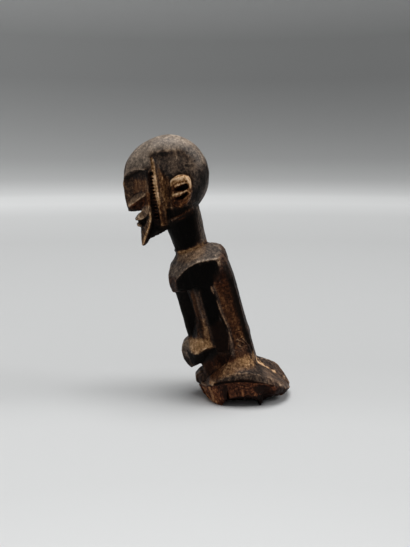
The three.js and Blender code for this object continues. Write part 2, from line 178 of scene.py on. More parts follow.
# The wings, lips and strips are joined in the next section, after the jaw that they stand on
nose_wing = [
    (0.6, -34.2, 85.2), (0.7, -34.4, 87), (2.6, -33.4, 84.9), (3.4, -33.1, 85.9), (4.3, -31.2, 86.2),
    (5.6, -31, 86.8), (6.6, -28.5, 87.9), (7.8, -28.5, 89.2), (8.6, -25.7, 90.3), (9.3, -26, 90.7),
    (1.4, -33.4, 88), (2.6, -31, 90.2), (5.2, -28, 92), (8, -25.3, 92.4), (2, -32.2, 84.6),
    (3, -28, 87.2), (6.4, -25.2, 89.8),
]
upper_lip = [
    (0, -30.4, 80.2), (0, -30.7, 79.4), (0, -29.9, 79), (2.4, -30.2, 80.4), (2.6, -30.2, 79.2),
    (4.7, -28.2, 82.6), (5.1, -27.4, 80), (7.1, -26.2, 85.2), (7.6, -25, 81.7), (0, -27, 82.6),
    (0, -26, 79.8), (4, -25, 85), (5, -24, 81.8),
]
lip_strip = [
    (7, -25.6, 84.7), (7.5, -25.1, 81.5), (8.4, -25.1, 88), (9.1, -24.8, 93), (9.5, -24, 92),
    (9, -23.6, 85), (8.2, -23.7, 81.8), (6, -23.4, 82), (7.4, -23, 93),
]
cheek_strip = [
    (8.6, -25.5, 91), (9.5, -24.1, 91), (9.2, -24.9, 99.6), (9.8, -24, 99.2), (7.6, -23.2, 91),
    (8, -23, 99.4),
]
lower_lip = [
    (0, -29.9, 76.6), (0, -29.9, 77.9), (0, -27.4, 76), (2.3, -29.5, 76.7), (2.4, -29.5, 77.9),
    (3.7, -27.7, 76.5), (3.8, -27.6, 77.8), (4.8, -26, 77.6), (0, -25.6, 77.9), (2, -24.6, 76.8),
]
between_lips = [
    (0, -29.35, 79.4), (0, -29.3, 77.4), (1.3, -29.1, 79.4), (1.3, -29, 77.4), (0, -26, 80),
    (1.3, -26, 80), (1.3, -26, 77), (0, -26, 77),
]

# Beard and jaw
# The lower face narrows to a long pointed beard, flat in front and hollowed behind its front strip.
# A groove with a row of notches runs between the cheek and the upright ridge that frames the face,
# and a narrow ledge marks the edge of the jaw above the neck.
beard_strip = [
    (0.9, -27.8, 68.2), (0.7, -26.9, 67.8), (1.2, -28, 72), (1.8, -28.1, 76), (2.2, -28, 79),
    (2, -26.5, 69), (4.4, -24.9, 74.4), (6.4, -23.7, 77.9), (8, -23.2, 81.8), (8.8, -23.1, 86.2),
    (3.2, -27.2, 76.5), (6, -25.5, 82), (7.4, -25.4, 86), (1.2, -25, 70), (3, -22.8, 74.6),
    (5, -21.9, 78), (6.4, -21.7, 82), (6.8, -21.6, 86.2), (0, -27.6, 68.3), (0, -26.9, 67.9),
    (0, -27.4, 73), (0, -27.1, 77.4), (0, -24.6, 70.4), (0, -22.4, 74.6),
]
jaw = [
    (1.4, -25.6, 69.9), (2.2, -21.1, 72.9), (2.6, -18.5, 74), (2.6, -17, 74.3), (4.4, -22.6, 77.5),
    (4.8, -17, 77.5), (5.8, -22.4, 82), (6.8, -14, 81), (7.2, -22, 88), (7.8, -12, 86), (5, -12.5, 80),
]

# The ridge has the same plan at each height, at its own distance out
ridge_plan = [(0, 0.6), (-0.5, 0.1), (-2.4, 0), (-2.3, 3.6)]
frame_ridge = []
for z, x in ((107.4, 9.2), (103.7, 10.3), (98.3, 10.9), (91.1, 11), (83.9, 9.8), (77.7, 8)):
    front = -22.6 + (106 - z) * 0.129
    frame_ridge += [(x + out, front + behind, z) for out, behind in ridge_plan]
under_nose = [
    (2.4, -32, 84.4), (2.4, -28.4, 82.8), (5.6, -26, 88.4), (reach_out, -33, 84.4),
    (reach_out, -28.4, 82), (reach_out, -25.6, 88.8),
]
mouth = [
    (1.6, -29.4, 78.45), (4.4, -25.2, 80.8), (4.4, -25.4, 77.8), (reach_out, -30, 78.45),
    (reach_out, -25, 81.2), (reach_out, -25.2, 77.6),
]

# The groove before the ridge runs through three stations: front, back, height and floor
groove = []
groove_stations = [(-23.8, -22, 100.9, 8.6), (-23.2, -20.6, 86, 7.4), (-22.4, -19.3, 74, 3.6)]
for stretch in zip(groove_stations, groove_stations[1:]):
    corners = []
    for front, back, z, floor in stretch:
        corners += [(floor, front + 0.2, z), (floor, back, z)]
        corners += [(reach_out, front - 0.6, z), (reach_out, back + 0.2, z)]
    groove.append(corners)
throat = [
    (9.2, -16.2, 77.3), (9.2, -2, 86), (3, -14, 73), (reach_out, -18.5, 77), (reach_out, 0, 88),
    (reach_out, -10, 70), (reach_out, 2, 80),
]
under_ear = [
    (7, -16.6, 84.6), (7, -10.4, 84.2), (7.2, -12, 82.2), (7, -16.4, 80.4), (reach_out, -16.8, 85),
    (reach_out, -9.6, 84.6), (reach_out, -11.6, 82.4), (reach_out, -16.6, 80.2),
]
jaw_ledge = [
    (8.3, -14.8, 80.4), (8.6, -10.4, 82.2), (6.6, -5.2, 85), (8.7, -14.5, 79.5), (8.8, -10, 81.4),
    (6.7, -4.6, 84.4), (6, -14.6, 82), (4, -5, 86), (6, -14, 78.8), (4, -4.4, 84),
]

# The notches are left between a row of small teeth on the groove's back edge
tooth_count = 14
tooth_pitch = 1.42
first_tooth = 98.8
for side in (-1, 1):
    for mass in (jaw, beard_strip, nose_wing, upper_lip, lip_strip, cheek_strip, lower_lip, between_lips):
        add(head, mirrored(side, mass))
    add(head, mirrored(side, frame_ridge))
    for mass in (under_nose, mouth, *groove, throat, under_ear):
        cut(head, mirrored(side, mass))
    add(head, mirrored(side, jaw_ledge))
    for i in range(tooth_count):
        z = first_tooth - i * tooth_pitch
        back = -22 + (100.9 - z) * 0.1
        x = 8.6 - max(98 - z, 0) * 0.085 - max(86 - z, 0) * 0.16
        add(head, mirrored(side, [
            (x + out, back + dy, z + dz)
            for out in (-0.6, 1.15) for dy in (-1.8, 0.5) for dz in (-0.4, 0.4)
        ]))

# Ears
# Each ear is a raised pad, rounded behind and sloping off below. Two slanting knife cuts, deep at
# the back and shallow in front, leave a rim and a bar that are worn pale, with painted highlights
# along their edges and painted shade in the cuts.
ear_outline = [
    (-14.7, 97.1), (-13.4, 98.2), (-11.3, 99.2), (-9.2, 99.6), (-7.1, 99), (-6.1, 97.1), (-5.7, 94.6),
    (-5.7, 92.1), (-6.3, 89.6), (-7.6, 87.5), (-10.6, 85.6), (-13.5, 86.6), (-14.9, 89),
]
ear_middle = (-10.4, 93)
ear_face = 12.5
ear_root = 7
ear_cut_start = 12.6
ear_cut_depth = 3.9
# Each cut has the (y, z) corners of its mouth, and those of its floor with their shares of the depth
upper_ear_cut = (
    [
        (-14.8, 92.7), (-14.8, 93.3), (-11.4, 95.2), (-8.9, 96.3), (-7.2, 96.3), (-6.7, 94.4),
        (-8.9, 92.6), (-11.4, 92.4),
    ],
    [
        (-13.8, 93, 0.5), (-11, 94.3, 0.9), (-8.6, 95.6, 1), (-7.4, 95.6, 1), (-7.1, 94.2, 1),
        (-9, 93.3, 1),
    ],
)
lower_ear_cut = (
    [
        (-13.6, 88.6), (-12.9, 90.5), (-10.1, 91.2), (-7.5, 93.3), (-6.9, 92.4), (-7.1, 90.8),
        (-9.3, 88.7), (-11.4, 88.6),
    ],
    [(-12.6, 89.3, 0.6), (-10, 90.4, 1), (-7.6, 92.3, 1), (-7.5, 91.1, 1), (-9.4, 89.4, 1)],
)
for side in (-1, 1):
    middle, level = ear_middle
    corners = []
    for y, z in ear_outline:
        face = ear_face - max(level - z, 0) * 0.16 - max(-11.4 - y, 0) * 0.6
        corners += [(side * ear_root, y, z), (side * (face - 1.7), y, z)]
        corners.append((side * (face - 0.5), middle + (y - middle) * 0.9, level + (z - level) * 0.92))
        corners.append((side * face, middle + (y - middle) * 0.72, level + (z - level) * 0.78))
    add(head, hewn(corners))
    for mouth, floor in (upper_ear_cut, lower_ear_cut):
        corners = [(side * reach_out, y, z) for y, z in mouth]
        corners += [(side * (ear_cut_start - ear_cut_depth * share), y, z) for y, z, share in floor]
        cut(head, hewn(corners))

# Neck
# The neck is a round post that leans forward with the trunk and grows a little thicker towards the
# head. Below the head everything stands on this leaning spine: x is across it, b is behind it and
# a is up along it. A narrow chamfered ring joins the neck to the shoulders.
lean = math.radians(15.7)
spine_foot = (0, 10.3, 16.6)
spine = Matrix.Translation(spine_foot) @ Matrix.Rotation(lean, 4, "X")


def leaning(corners):
    """Corners given on the spine, as places in the drawing."""
    return [tuple(spine @ Vector(corner)) for corner in corners]


def ring(radius, axis, a, tilt=0, steps=32):
    """Corners round a middle that is axis behind the spine, at height a and rising backwards by tilt."""
    corners = []
    for i in range(steps):
        turn = 2 * math.pi * i / steps
        b = radius * math.cos(turn)
        corners.append((radius * math.sin(turn), axis + b, a + tilt * b))
    return corners


# The post, the chamfered ring at its foot and the two slight swellings above that
trunk = []
for rings in (
    [(6.9, -1.8, 47), (8.5, -2.3, 73)],
    [(8.6, -1.8, 50.8, 0.08), (7.1, -1.8, 53.4, 0.08)],
    [(7, -2.4, 53.6, 0.1), (7, -3, 54.6, 0.1), (6.8, -2.3, 55.6, 0.1)],
    [(6.9, -2.2, 57, 0.1), (6.9, -2.8, 57.8, 0.1), (6.8, -2.1, 58.8, 0.1)],
):
    trunk.append(hewn(leaning([corner for size in rings for corner in ring(*size)])))

# Shoulders
# The shoulders are one block with the arms: a sloping top facet down to a crisp curved ridge, a
# steep side facet under it, and a slanting facet behind that runs into the raised back.
trunk.append(hewn(leaning(both_sides([
    (11.4, -11.8, 42.6), (13, -9.2, 44.6), (14.3, -6.6, 46.1), (15.1, -4, 47.3), (15.5, -0.7, 48.2),
    (15.6, 3.2, 48.2), (15.2, 7.8, 47.6), (10.8, -12.4, 38.4), (12.9, -9, 38.4), (14, -4.4, 38),
    (14.4, -0.2, 37.2), (14.4, 2.4, 36.6), (11.6, 11, 46.6), (10.4, 12, 36.6), (7.4, 11.8, 47.6),
    (7.4, 12.7, 36.6), (5.5, 9.4, 51), (6.9, 10.6, 49.9), (5, -10.6, 49.5), (6, -13.3, 47.2),
    (7, -14.5, 44.3), (7.5, -15.1, 40.8), (7.5, -14.7, 37),
]) + ring(7.8, -1.8, 52.3, 0.08))))

# Trunk and arms
# A square post with a narrow column in front, the arms cut as flat bands down its sides and the
# back left as a raised panel behind them. The forearms meet under the belly.


def stations(levels):
    """A mass through several plans, each given as its height a and the (x, b) corners of one half."""
    return hewn(leaning(both_sides([(x, b, a) for a, plan in levels for x, b in plan])))


panel_top = (37, [(13.5, 2.2), (10.4, 11.9), (7.4, 12.7), (12.8, 0), (6, -6)])
panel_middle = (22.5, [(13.4, 3.4), (10.2, 12), (7.4, 12.7), (12.8, 0), (6, -6)])
panel_foot = (-6, [(13.3, 4.4), (10.4, 12), (7.4, 12.7), (12.6, 0), (6, -6)])
sides = [stations([panel_top, panel_middle]), stations([panel_middle, panel_foot])]
column = [(3.6, -14), (4.6, -13), (5.6, -5)]
trunk.append(stations([(39, column), (4.4, column)]))
# The waist under the elbows
trunk.append(stations([
    (8.8, [(7, -11.6), (12, -5), (12.6, 3.4)]),
    (-6, [(7, -11.6), (12.4, -5), (12.8, 3.4)]),
]))
# Each arm, down to the elbow, and then the elbow
for side in (-1, 1):
    sides.append(mirrored(side, leaning([
        (x, b, a)
        for a, front in ((37.6, -3.6), (26, -3.2), (10.8, -3))
        for x, b in ((13.6, front), (13.8, 1.8), (10.4, front - 3.9), (7, front - 5.2), (7, 2))
    ])))
    sides.append(mirrored(side, leaning([
        (14, b, a) for b, a in (
            (-3.2, 22), (1.8, 22), (2.8, 19.5), (3.3, 16.1), (3.9, 13.6), (2.7, 9.3), (1.5, 6.4),
            (-3.4, 8.6),
        )
    ] + [(11, b, a) for b, a in ((-3, 22), (2, 24), (4.4, 13.6), (1.6, 4.6), (-3, 7))])))


def arm_groove(side, levels):
    """The knife groove between an arm and the raised back, through (a, b) points, b its middle."""
    return mirrored(side, leaning([
        corner for a, middle in levels
        for corner in ((12.3, middle, a), (reach_out, middle - 0.9, a), (reach_out, middle + 0.6, a))
    ]))


for wood in [as_object(mass, "side") for mass in sides]:
    for side in (-1, 1):
        cut(wood, arm_groove(side, [(35.6, 2), (22.6, 2.6)]))
        cut(wood, arm_groove(side, [(22.8, 2.8), (13.8, 4.3)]))
    trunk.append(wood)

# Hands
# The forearms and hands are one rounded block that juts out in front, lit and worn on its sloping
# top, hatched with knife marks underneath.
trunk.append(hewn(leaning(both_sides([
    (2.5, -14.6, 14.4), (2.6, -16.9, 13), (3, -18.6, 10.2), (3, -18.9, 6), (2.6, -17.9, 2.8),
    (2, -16.7, 0.6), (6, -14.6, 2.2), (8, -11.1, 3.4), (9, -8, 4.5), (9.6, -4, 5.6), (13.9, -3, 11),
    (12.8, -8.8, 9.9), (10.4, -12.3, 8.5), (7, -15.4, 7.4), (13.2, -2.6, 14.4), (9.4, -5, 16.6),
    (5, -9, 16.6), (6.2, -13.4, 13), (2, -12, 2),
]))))
for side in (-1, 1):
    trunk.append(mirrored(side, leaning([
        (13.6, -3.1, 21), (13.9, -3, 11), (12.8, -8.8, 9.9), (10.4, -12.2, 8.6), (10.4, -7, 23),
        (7, -8.3, 24), (4.6, -8.6, 23), (4.8, -9.8, 18), (5.6, -12.8, 14.4), (6, -5, 10),
    ])))

# Hips
# The hips swell out all round into a faceted belt with a crisp upper ridge. Behind, two buttocks
# are parted by a chipped, wide open cleft, and a small knob ends the belly in front.


def hip_ring(half_width, front, back, height_at, fullness=0.75, steps=48):
    """Corners round the hips, squarer in plan the lower the fullness, at a height set by y."""
    corners = []
    for i in range(steps):
        turn = 2 * math.pi * i / steps
        across = math.copysign(abs(math.cos(turn)) ** fullness, math.cos(turn))
        along = math.copysign(abs(math.sin(turn)) ** fullness, math.sin(turn))
        y = (front + back) / 2 + (back - front) / 2 * along
        corners.append((half_width * across, y, height_at(y)))
    return corners


def belt_height(y, top=12.1):
    """How high the edge under the belt runs: it sinks away from its middle, to the front and the back."""
    return top - 0.018 * (y - 17) ** 2


hips = as_object(hewn(
    hip_ring(12.9, 2.5, 20.5, lambda y: 20.3 - 0.033 * min(y - 18, 0) ** 2 - 0.35 * max(y - 15, 0))
    + hip_ring(20.3, -0.3, 33.4, lambda y: 15.6 - 0.026 * (y - 17) ** 2)
    + hip_ring(21.4, -0.9, 34.8, lambda y: belt_height(y, 12.3))
), "hips")
# The two buttocks, the bridge of wood between them, the hip tops beside the arms and the knob
add(hips, hewn([
    (-2, 22.4, 16.4), (-6, 22, 16), (-7, 28, 13.8), (-7, 32, 12.7), (-6.5, 33.9, 11.3), (-6, 36.2, 7.9),
    (-2, 38.6, 4.2), (-9, 36.9, 5), (-9, 36, 2.4), (-14, 30, 11.9), (-14, 33.6, 9.4), (-17.6, 24, 13),
    (-17.6, 30.4, 9), (-16.8, 32, 5.4), (-17, 22, 3), (-13, 30, 0.6), (-1.2, 30, 9.4), (-1, 36, 6),
]))
add(hips, hewn([
    (1, 23, 16.6), (5, 23.2, 17.2), (5, 25.5, 14.7), (6, 29.9, 11.3), (6, 33, 9.6), (5.4, 36, 7),
    (2, 38.4, 4), (9, 36.9, 4.6), (9, 36, 2.4), (14, 30, 10.6), (14, 33.6, 8.4), (17.6, 24, 12.6),
    (17.6, 30.4, 8.4), (16.8, 32, 5.4), (17, 22, 3), (13, 30, 0.6), (1.4, 30, 8.6), (1, 36, 5.4),
]))
add(hips, hewn([
    (-6, 36.2, 7.9), (-2, 38.5, 4.2), (2, 38.3, 4), (5.4, 36, 7), (-1.5, 37.3, 6.5), (-4, 30, 9.4),
    (4, 30, 8.6), (-5, 36, 1), (5, 36, 1),
]))
for side, low in ((-1, 3), (1, 0)):
    add(hips, mirrored(side, [
        (13.1, 12.4, 25), (10.6, 19, 26.4), (16.6, 9, 16.6 - low), (17, 14, 18 - low),
        (16.8, 19, 17.8 - low), (14.6, 22.4, 16.8 - low), (6, 12, 15), (6, 21, 15),
    ]))
add(hips, hewn(both_sides([
    (2.8, 3, 13.4), (2.8, -2.4, 11.4), (2.8, -4.2, 9.4), (2.8, -4.2, 7.6), (2.8, -3.1, 5.6),
    (2.8, 3, 4.6), (6.4, -0.6, 10.6), (6.6, -0.8, 7.2), (9, 3, 12), (9, 3, 6),
])))

# Stumps
# The legs are broken off just under the hips. The break is rough, with splinters in front, a split
# in the near side, an arched gap underneath and a dark lump behind. The statuette stands on it.
near_slant = 0.26
far_slant = 0.1


def broken(corners):
    """Slants the front of the break away from the middle, further on the near side."""
    moved = []
    for x, y, z in corners:
        slant = max(x, 0) * near_slant + max(-x, 0) * far_slant
        moved.append((x, y + slant * max(1 - (y + 0.2) / 12, 0), z))
    return moved


stumps = as_object(hewn(
    hip_ring(19.9, -2, 32.5, lambda y: 11.6 - 0.012 * (y - 17.5) ** 2 - 0.008 * max(y - 17.5, 0) ** 2)
    + broken(hip_ring(19, -2.2, 31.5, lambda y: 3.4, 0.5))
    + broken(hip_ring(17.6, -0.2, 30, lambda y: 0, 0.4))
), "stumps")
arch = [(6.9, -2), (7.5, 0), (9.4, 1.9), (11.9, 3.2), (19.5, 3.6), (23.5, 1.6), (24.5, 0), (25.1, -2)]
arch_inside = [(y, min(z, 1)) for y, z in arch]
arch_floor = 12
cut(stumps, hewn(both_sides([(arch_floor, y, z) for y, z in arch_inside])))
for outside, rise in ((-reach_out, -0.4), (reach_out, 1.1)):
    cut(stumps, hewn(
        [(outside, y, z + rise * (z > 0)) for y, z in arch]
        + [(outside * 0.55, y, z) for y, z in arch_inside]
    ))
# The split in the near side, and the lump behind
cut(stumps, hewn([
    (12, 9.6, 2), (12, 10.4, 2), (12, 9.9, 9), (26, 9.4, 1), (26, 10.8, 1), (26, 9.8, 8.6),
    (26, 10.3, 8.6),
]))
add(stumps, hewn([
    (12, 24, 0.2), (15, 24.4, 0), (17.2, 25.4, 2.4), (17.8, 26, 6), (16.6, 29.6, 6.6), (15.6, 30.6, 3.4),
    (13, 30, 0.2), (10, 28, 0.1), (10, 24, 8), (10, 31, 8),
]))

# One piece of wood
# All the masses are one billet of wood. They are fused into a single skin here, and the skin is then
# cut, worn and broken further as one surface, so that no seam shows between them.
billet = bmesh.new()
for part in [head, hips, stumps] + trunk:
    if isinstance(part, bmesh.types.BMesh):
        part = as_object(part, "mass")
    billet.from_mesh(part.data)
    bpy.data.objects.remove(part)
carving = as_object(billet, "carved_wood")


def applied(wood, kind, **settings):
    """Runs one modifier on the wood and keeps its result."""
    step = wood.modifiers.new("step", kind)
    for name, value in settings.items():
        setattr(step, name, value)
    bpy.context.view_layer.update()
    worked = wood.evaluated_get(bpy.context.evaluated_depsgraph_get())
    wood.data = bpy.data.meshes.new_from_object(worked)
    wood.modifiers.clear()


skin_step = 0.25
triangle_limit = 190000
applied(carving, "REMESH", mode="VOXEL", voxel_size=skin_step)


def read(mesh):
    """The mesh's points, normals and edges as arrays."""
    points = np.empty(len(mesh.vertices) * 3)
    mesh.vertices.foreach_get("co", points)
    normals = np.empty(len(mesh.vertices) * 3)
    mesh.vertex_normals.foreach_get("vector", normals)
    edges = np.empty(len(mesh.edges) * 2, dtype=np.int64)
    mesh.edges.foreach_get("vertices", edges)
    return points.reshape(-1, 3), normals.reshape(-1, 3), edges.reshape(-1, 2)


def write(mesh, points):
    """Puts the mesh's points where the array says."""
    mesh.vertices.foreach_set("co", points.ravel())
    mesh.update()


def relaxed(values, edges, times):
    """Each value drawn half way to the mean of its neighbours, a number of times."""
    values = values.reshape(len(values), -1)
    start, end = edges.T
    count = np.bincount(edges.ravel(), minlength=len(values))[:, None]
    for _ in range(times):
        total = [
            np.bincount(start, column[end], len(values)) + np.bincount(end, column[start], len(values))
            for column in values.T
        ]
        values = (values + np.stack(total, axis=1) / count) / 2
    return values


def cloud(points, size, seed):
    """Soft random bumps from -1 to 1, about size millimetres across."""
    place = points / size + seed * 7.31
    cell = np.floor(place).astype(np.int64)
    inside = place - cell
    inside = inside * inside * (3 - 2 * inside)
    total = 0
    for step in itertools.product((0, 1), repeat=3):
        x, y, z = (cell + step).T
        mixed = (x * 73856093) ^ (y * 19349663) ^ (z * 83492791) ^ (seed * 2654435761)
        mixed = (mixed ^ (mixed >> 13)) * 1274126177
        mixed = (mixed ^ (mixed >> 16)) & 0xFFFFFF
        total = total + np.where(step, inside, 1 - inside).prod(axis=1) * mixed
    return total / 0xFFFFFF * 2 - 1


def along_grain(points, stretch):
    """Points seen in the leaning spine's frame, with lengths along the grain divided by stretch."""
    turned = (points - np.array(spine.translation)) @ np.array(spine.to_3x3())
    return turned / (1, 1, stretch)


def near(points, centre, radii):
    """1 at a centre (x, y, z) on either side, falling to 0 at the radii (across, behind, along)."""
    folded = np.hstack([np.abs(points[:, :1]), points[:, 1:]])
    away = along_grain(folded, 1) - along_grain(np.array([centre], dtype=float), 1)
    return np.clip(1 - np.sqrt(((away / radii) ** 2).sum(axis=1)), 0, 1)


def soft_step(values, low, high):
    """0 below low, 1 above high, and a smooth rise between them."""
    part = np.clip((values - low) / (high - low), 0, 1)
    return part * part * (3 - 2 * part)


def below_belt(points):
    """1 on the broken stumps under the belt of the hips, 0 above it."""
    x, y, z = points.T
    edge = belt_height(y)
    edge = np.where(y < 6, np.minimum(edge, 7.4 + 0.1 * np.abs(x)), edge)
    return soft_step(edge - z, -0.3, 0.5)


def knife_facets(points, normals, edges, seed, count, stretch, limit, amount):
    """Pulls the skin towards flat knife cuts round random places, longer along the grain."""
    smooth = relaxed(normals, edges, 6)
    smooth /= np.linalg.norm(smooth, axis=1)[:, None]
    places = np.random.default_rng(seed).choice(len(points), count, replace=False)
    squeezed = along_grain(points, stretch)
    tree = kdtree.KDTree(count)
    for i, place in enumerate(places):
        tree.insert(squeezed[place], i)
    tree.balance()
    nearest = places[[tree.find(point)[1] for point in squeezed]]
    away = ((points - points[nearest]) * smooth[nearest]).sum(axis=1)
    alike = soft_step((smooth * smooth[nearest]).sum(axis=1), 0.72, 0.9)
    return points - normals * (np.clip(away, -limit, limit) * amount * alike)[:, None]


def line(points, ends, width):
    """1 on the line through two or more points (x, y, z), falling to 0 at its half width."""
    reach = np.zeros(len(points))
    for start, end in zip(ends, ends[1:]):
        start, end = np.array(start, dtype=float), np.array(end, dtype=float)
        way = end - start
        part = np.clip((points - start) @ way / (way @ way), 0, 1)
        away = np.linalg.norm(points - start - part[:, None] * way, axis=1)
        reach = np.maximum(reach, np.clip(1 - away / width, 0, 1))
    return reach


def gouge(points, normals, ends, width, depth):
    """Presses a groove into the skin along a line."""
    return points - normals * (line(points, ends, width) * depth)[:, None]


# The top of the far hip lies a little lower, and the rear of the break is tucked in under the belt
far_hip_drop = 1.8
rear_tuck = 4.8
points, normals, edges = read(carving.data)
points = relaxed(points, edges, 4)
x, y, z = points.T
far_hip = soft_step(-x, 6, 14) * soft_step(y, 16, 22) * soft_step(-y, -30, -24)
z -= far_hip_drop * far_hip * soft_step(z, 8, 13) * soft_step(-z, -26, -20)
y -= rear_tuck * soft_step(y, 22, 32) * soft_step(belt_height(y) - z, 0.4, 6.5)
write(carving.data, points)

# Knife facets all over, broad ones and then narrow ones, mostly rubbed off on the crown and forehead
facets_lost = 0.72
points, normals, edges = read(carving.data)
handled = soft_step(np.linalg.norm(points[:, 1:] - skull_centre[1:], axis=1), 11, 15)
handled *= soft_step(points[:, 2] - points[:, 1], 112, 119) * (points[:, 2] > 84)
before = points
points = knife_facets(points, normals, edges, seed=1, count=900, stretch=2.4, limit=0.3, amount=0.75)
points = knife_facets(points, normals, edges, seed=2, count=5200, stretch=3.2, limit=0.12, amount=0.7)
points = before + (points - before) * (1 - facets_lost * handled)[:, None]

# The edge along the hairline is worn round
hairline = [(9, -24, 107.6), (9, -17, 108.9), (8, -9.6, 109.4), (8, -4.4, 103)]
worn_smooth = sum(line(points, [(side * x, y, z) for x, y, z in hairline], 3) for side in (-1, 1))
points += (relaxed(points, edges, 40) - points) * soft_step(worn_smooth, 0, 0.7)[:, None]
write(carving.data, relaxed(points, edges, 1))
points, normals, edges = read(carving.data)

# The skin rises and sinks by the knife's wobble and the grain, by chunks and splinters where the
# wood is broken, by pits in the side of the skull, by marks on the neck and chips by the cleft
wobble = cloud(points, 9, 3) * 0.16 + cloud(points, 3.6, 4) * 0.1
fibre = cloud(along_grain(points, 9), 0.7, 5)
fine_fibre = cloud(along_grain(points, 7), 0.34, 6)
broken_wood = below_belt(points)
chunks = cloud(along_grain(points, 1.5), 3.4, 7)
shards = np.abs(cloud(along_grain(points, 1.8), 2.4, 8))
rise = wobble + fibre * 0.02 + fine_fibre * 0.012
stepped = np.round(chunks * 2.5) / 2.5
rise += broken_wood * (stepped * 0.5 + 0.2 - shards * 0.5 + fibre * 0.07 + fine_fibre * 0.03)
neck_marks = near(points, (5, -5, 76), (9, 9, 12))
rise += soft_step(neck_marks, 0, 0.3) * fibre * 0.05
side_of_skull = near(points, (9, -12, 103), (6, 12, 9))
pits = soft_step(cloud(points, 2.1, 9), 0.3, 0.8) + soft_step(cloud(points, 1.1, 10), 0.5, 0.9) * 0.5
rise -= soft_step(side_of_skull, 0, 0.4) * pits * 0.36
splinters = near(points, (6, 2.5, 4.5), (9, 6, 6))
rise += soft_step(splinters, 0, 0.4) * fibre * 0.35
chipped = near(points, (3, 27.5, 13.5), (6, 8, 4))
rise += soft_step(chipped, 0, 0.4) * (chunks * 0.4 + fibre * 0.2)
ground = soft_step(points[:, 2], 0, 1.2)
points = points + normals * (rise * ground)[:, None]

# Gouged lines: the cleft, cracks round the break, hatching under the hands, scratches on the back
cleft = [(2.6, 22.4, 18), (3.2, 25.4, 15), (3.2, 29.8, 12), (2.4, 33, 10.4), (1.2, 37.4, 5.4)]
points = gouge(points, normals, cleft, width=2.2, depth=0.7)
crack_random = np.random.default_rng(12)
crack_count = 18
for i in range(crack_count):
    turn = crack_random.uniform(-0.6, 3.8)
    foot = Vector((19.4 * math.cos(turn), 15.5 + 17 * math.sin(turn + math.pi), 1))
    top = foot + Vector((0, crack_random.uniform(-0.8, 0.8), crack_random.uniform(3, 8)))
    points = gouge(points, normals, [foot, top], width=0.5, depth=crack_random.uniform(0.4, 0.9))
hatch_count = 9
for side in (-1, 1):
    for i in range(hatch_count):
        low = (side * (3 + i * 0.9), -18.2 + i * 1.45, 8.6 + 0.25 * i + 0.3 * math.sin(i * 5))
        high = (low[0] - side * 0.8, low[1] + 2.4, low[2] - 5.2)
        points = gouge(points, normals, [low, high], width=0.4, depth=0.16)
scratch_random = np.random.default_rng(11)
scratch_count = 16
for i in range(scratch_count):
    start = Vector((12, scratch_random.uniform(6, 11), scratch_random.uniform(4, 14)))
    end = start + Vector((-0.6, scratch_random.uniform(1, 4), scratch_random.uniform(-4, 1.5)))
    points = gouge(points, normals, leaning([start, end]), width=0.36, depth=0.3)
foot_marks = [leaning(ends) for ends in (
    [(12.4, 6.6, 9.8), (11.5, 9.4, 7)],
    [(11.7, 8.8, 9.6), (10.9, 10.8, 5.8)],
    [(12.3, 6.6, 7.2), (11.2, 10.2, 3)],
    [(12.3, 6.9, 4.8), (12.6, 5.6, 3.2)],
)]
for ends in foot_marks:
    points = gouge(points, normals, ends, width=0.6, depth=0.4)

# Nothing goes below the ground, and the skin's four-sided faces are thinned to the limit
points[:, 2] = np.maximum(points[:, 2], 0)
write(carving.data, points)
full_count = len(carving.data.polygons) * 2
applied(carving, "DECIMATE", ratio=min(1, triangle_limit / full_count))

# Wood
# Hard dark wood with a smoke-black crust in the deep and sheltered places, a grey sheen where
# hands rubbed it, pale brown edges where it is worn, dust in the hollows and a redder, fibrous
# break below. Part of the colour is painted light: painted shade in recesses, under overhangs and on
# side faces, and painted sheen and highlights on tops and edges.
points, normals, edges = read(carving.data)

# How far the skin stands out from its near and its wider surroundings tells the edges and hollows
near_shape = points - relaxed(points, edges, 5)
far_shape = points - relaxed(points, edges, 40)
ridge = (near_shape * normals).sum(axis=1)
bulge = (far_shape * normals).sum(axis=1)
# Pale on edges and bulges: wear, and a painted highlight on ridges
wear_and_highlight_on_edges = soft_step(ridge, 0.025, 0.11) * 0.6 + soft_step(bulge, 0.15, 0.6) * 0.4
sunk = soft_step(-ridge, 0.01, 0.09) * 0.5 + soft_step(-bulge, 0.12, 0.6) * 0.5
up = normals[:, 2]
patchy = cloud(points, 5, 21) * 0.5 + cloud(points, 2, 22) * 0.3 + cloud(points, 0.9, 23) * 0.2
streaks = cloud(along_grain(points, 6), 1.1, 24)
fibres = cloud(along_grain(points, 8), 0.6, 25)

# The colour is three levels at each point, which the material reads: tone from black to pale, red
# where the wood is raw, and a grey level where the brown is greyed, by dust and by painted sheen.
# Faces that look up start paler and greyer, as painted light and sheen from above with some dust,
# and those that look down start darker, as painted shade.
colour_levels = {
    "tone": 0.3 + 0.17 * soft_step(up, 0.1, 0.8) - 0.1 * soft_step(-up, 0.1, 0.7),
    "red": np.zeros(len(points)),
    "ash": 0.25 + 0.5 * soft_step(up, 0, 0.7),
}


def paint(part, **wanted):
    """Draws the colour levels towards the wanted levels, all the way where part is 1."""
    for name, level in wanted.items():
        colour_levels[name] += (level - colour_levels[name]) * part


def within(points, outline):
    """How far inside an outline seen from the side, (y, z) in millimetres, each point lies."""
    place = points[:, 1:]
    corners = np.array(outline, dtype=float)
    nearest = np.full(len(place), 1e9)
    crossings = np.zeros(len(place), dtype=bool)
    for start, end in zip(corners, np.roll(corners, -1, axis=0)):
        way = end - start
        part = np.clip(((place - start) @ way) / (way @ way), 0, 1)
        nearest = np.minimum(nearest, np.linalg.norm(place - start - part[:, None] * way, axis=1))
        if start[1] != end[1]:
            spans = (start[1] > place[:, 1]) != (end[1] > place[:, 1])
            cross = start[0] + (place[:, 1] - start[1]) / way[1] * way[0]
            crossings ^= spans & (place[:, 0] < cross)
    return np.where(crossings, nearest, -nearest)
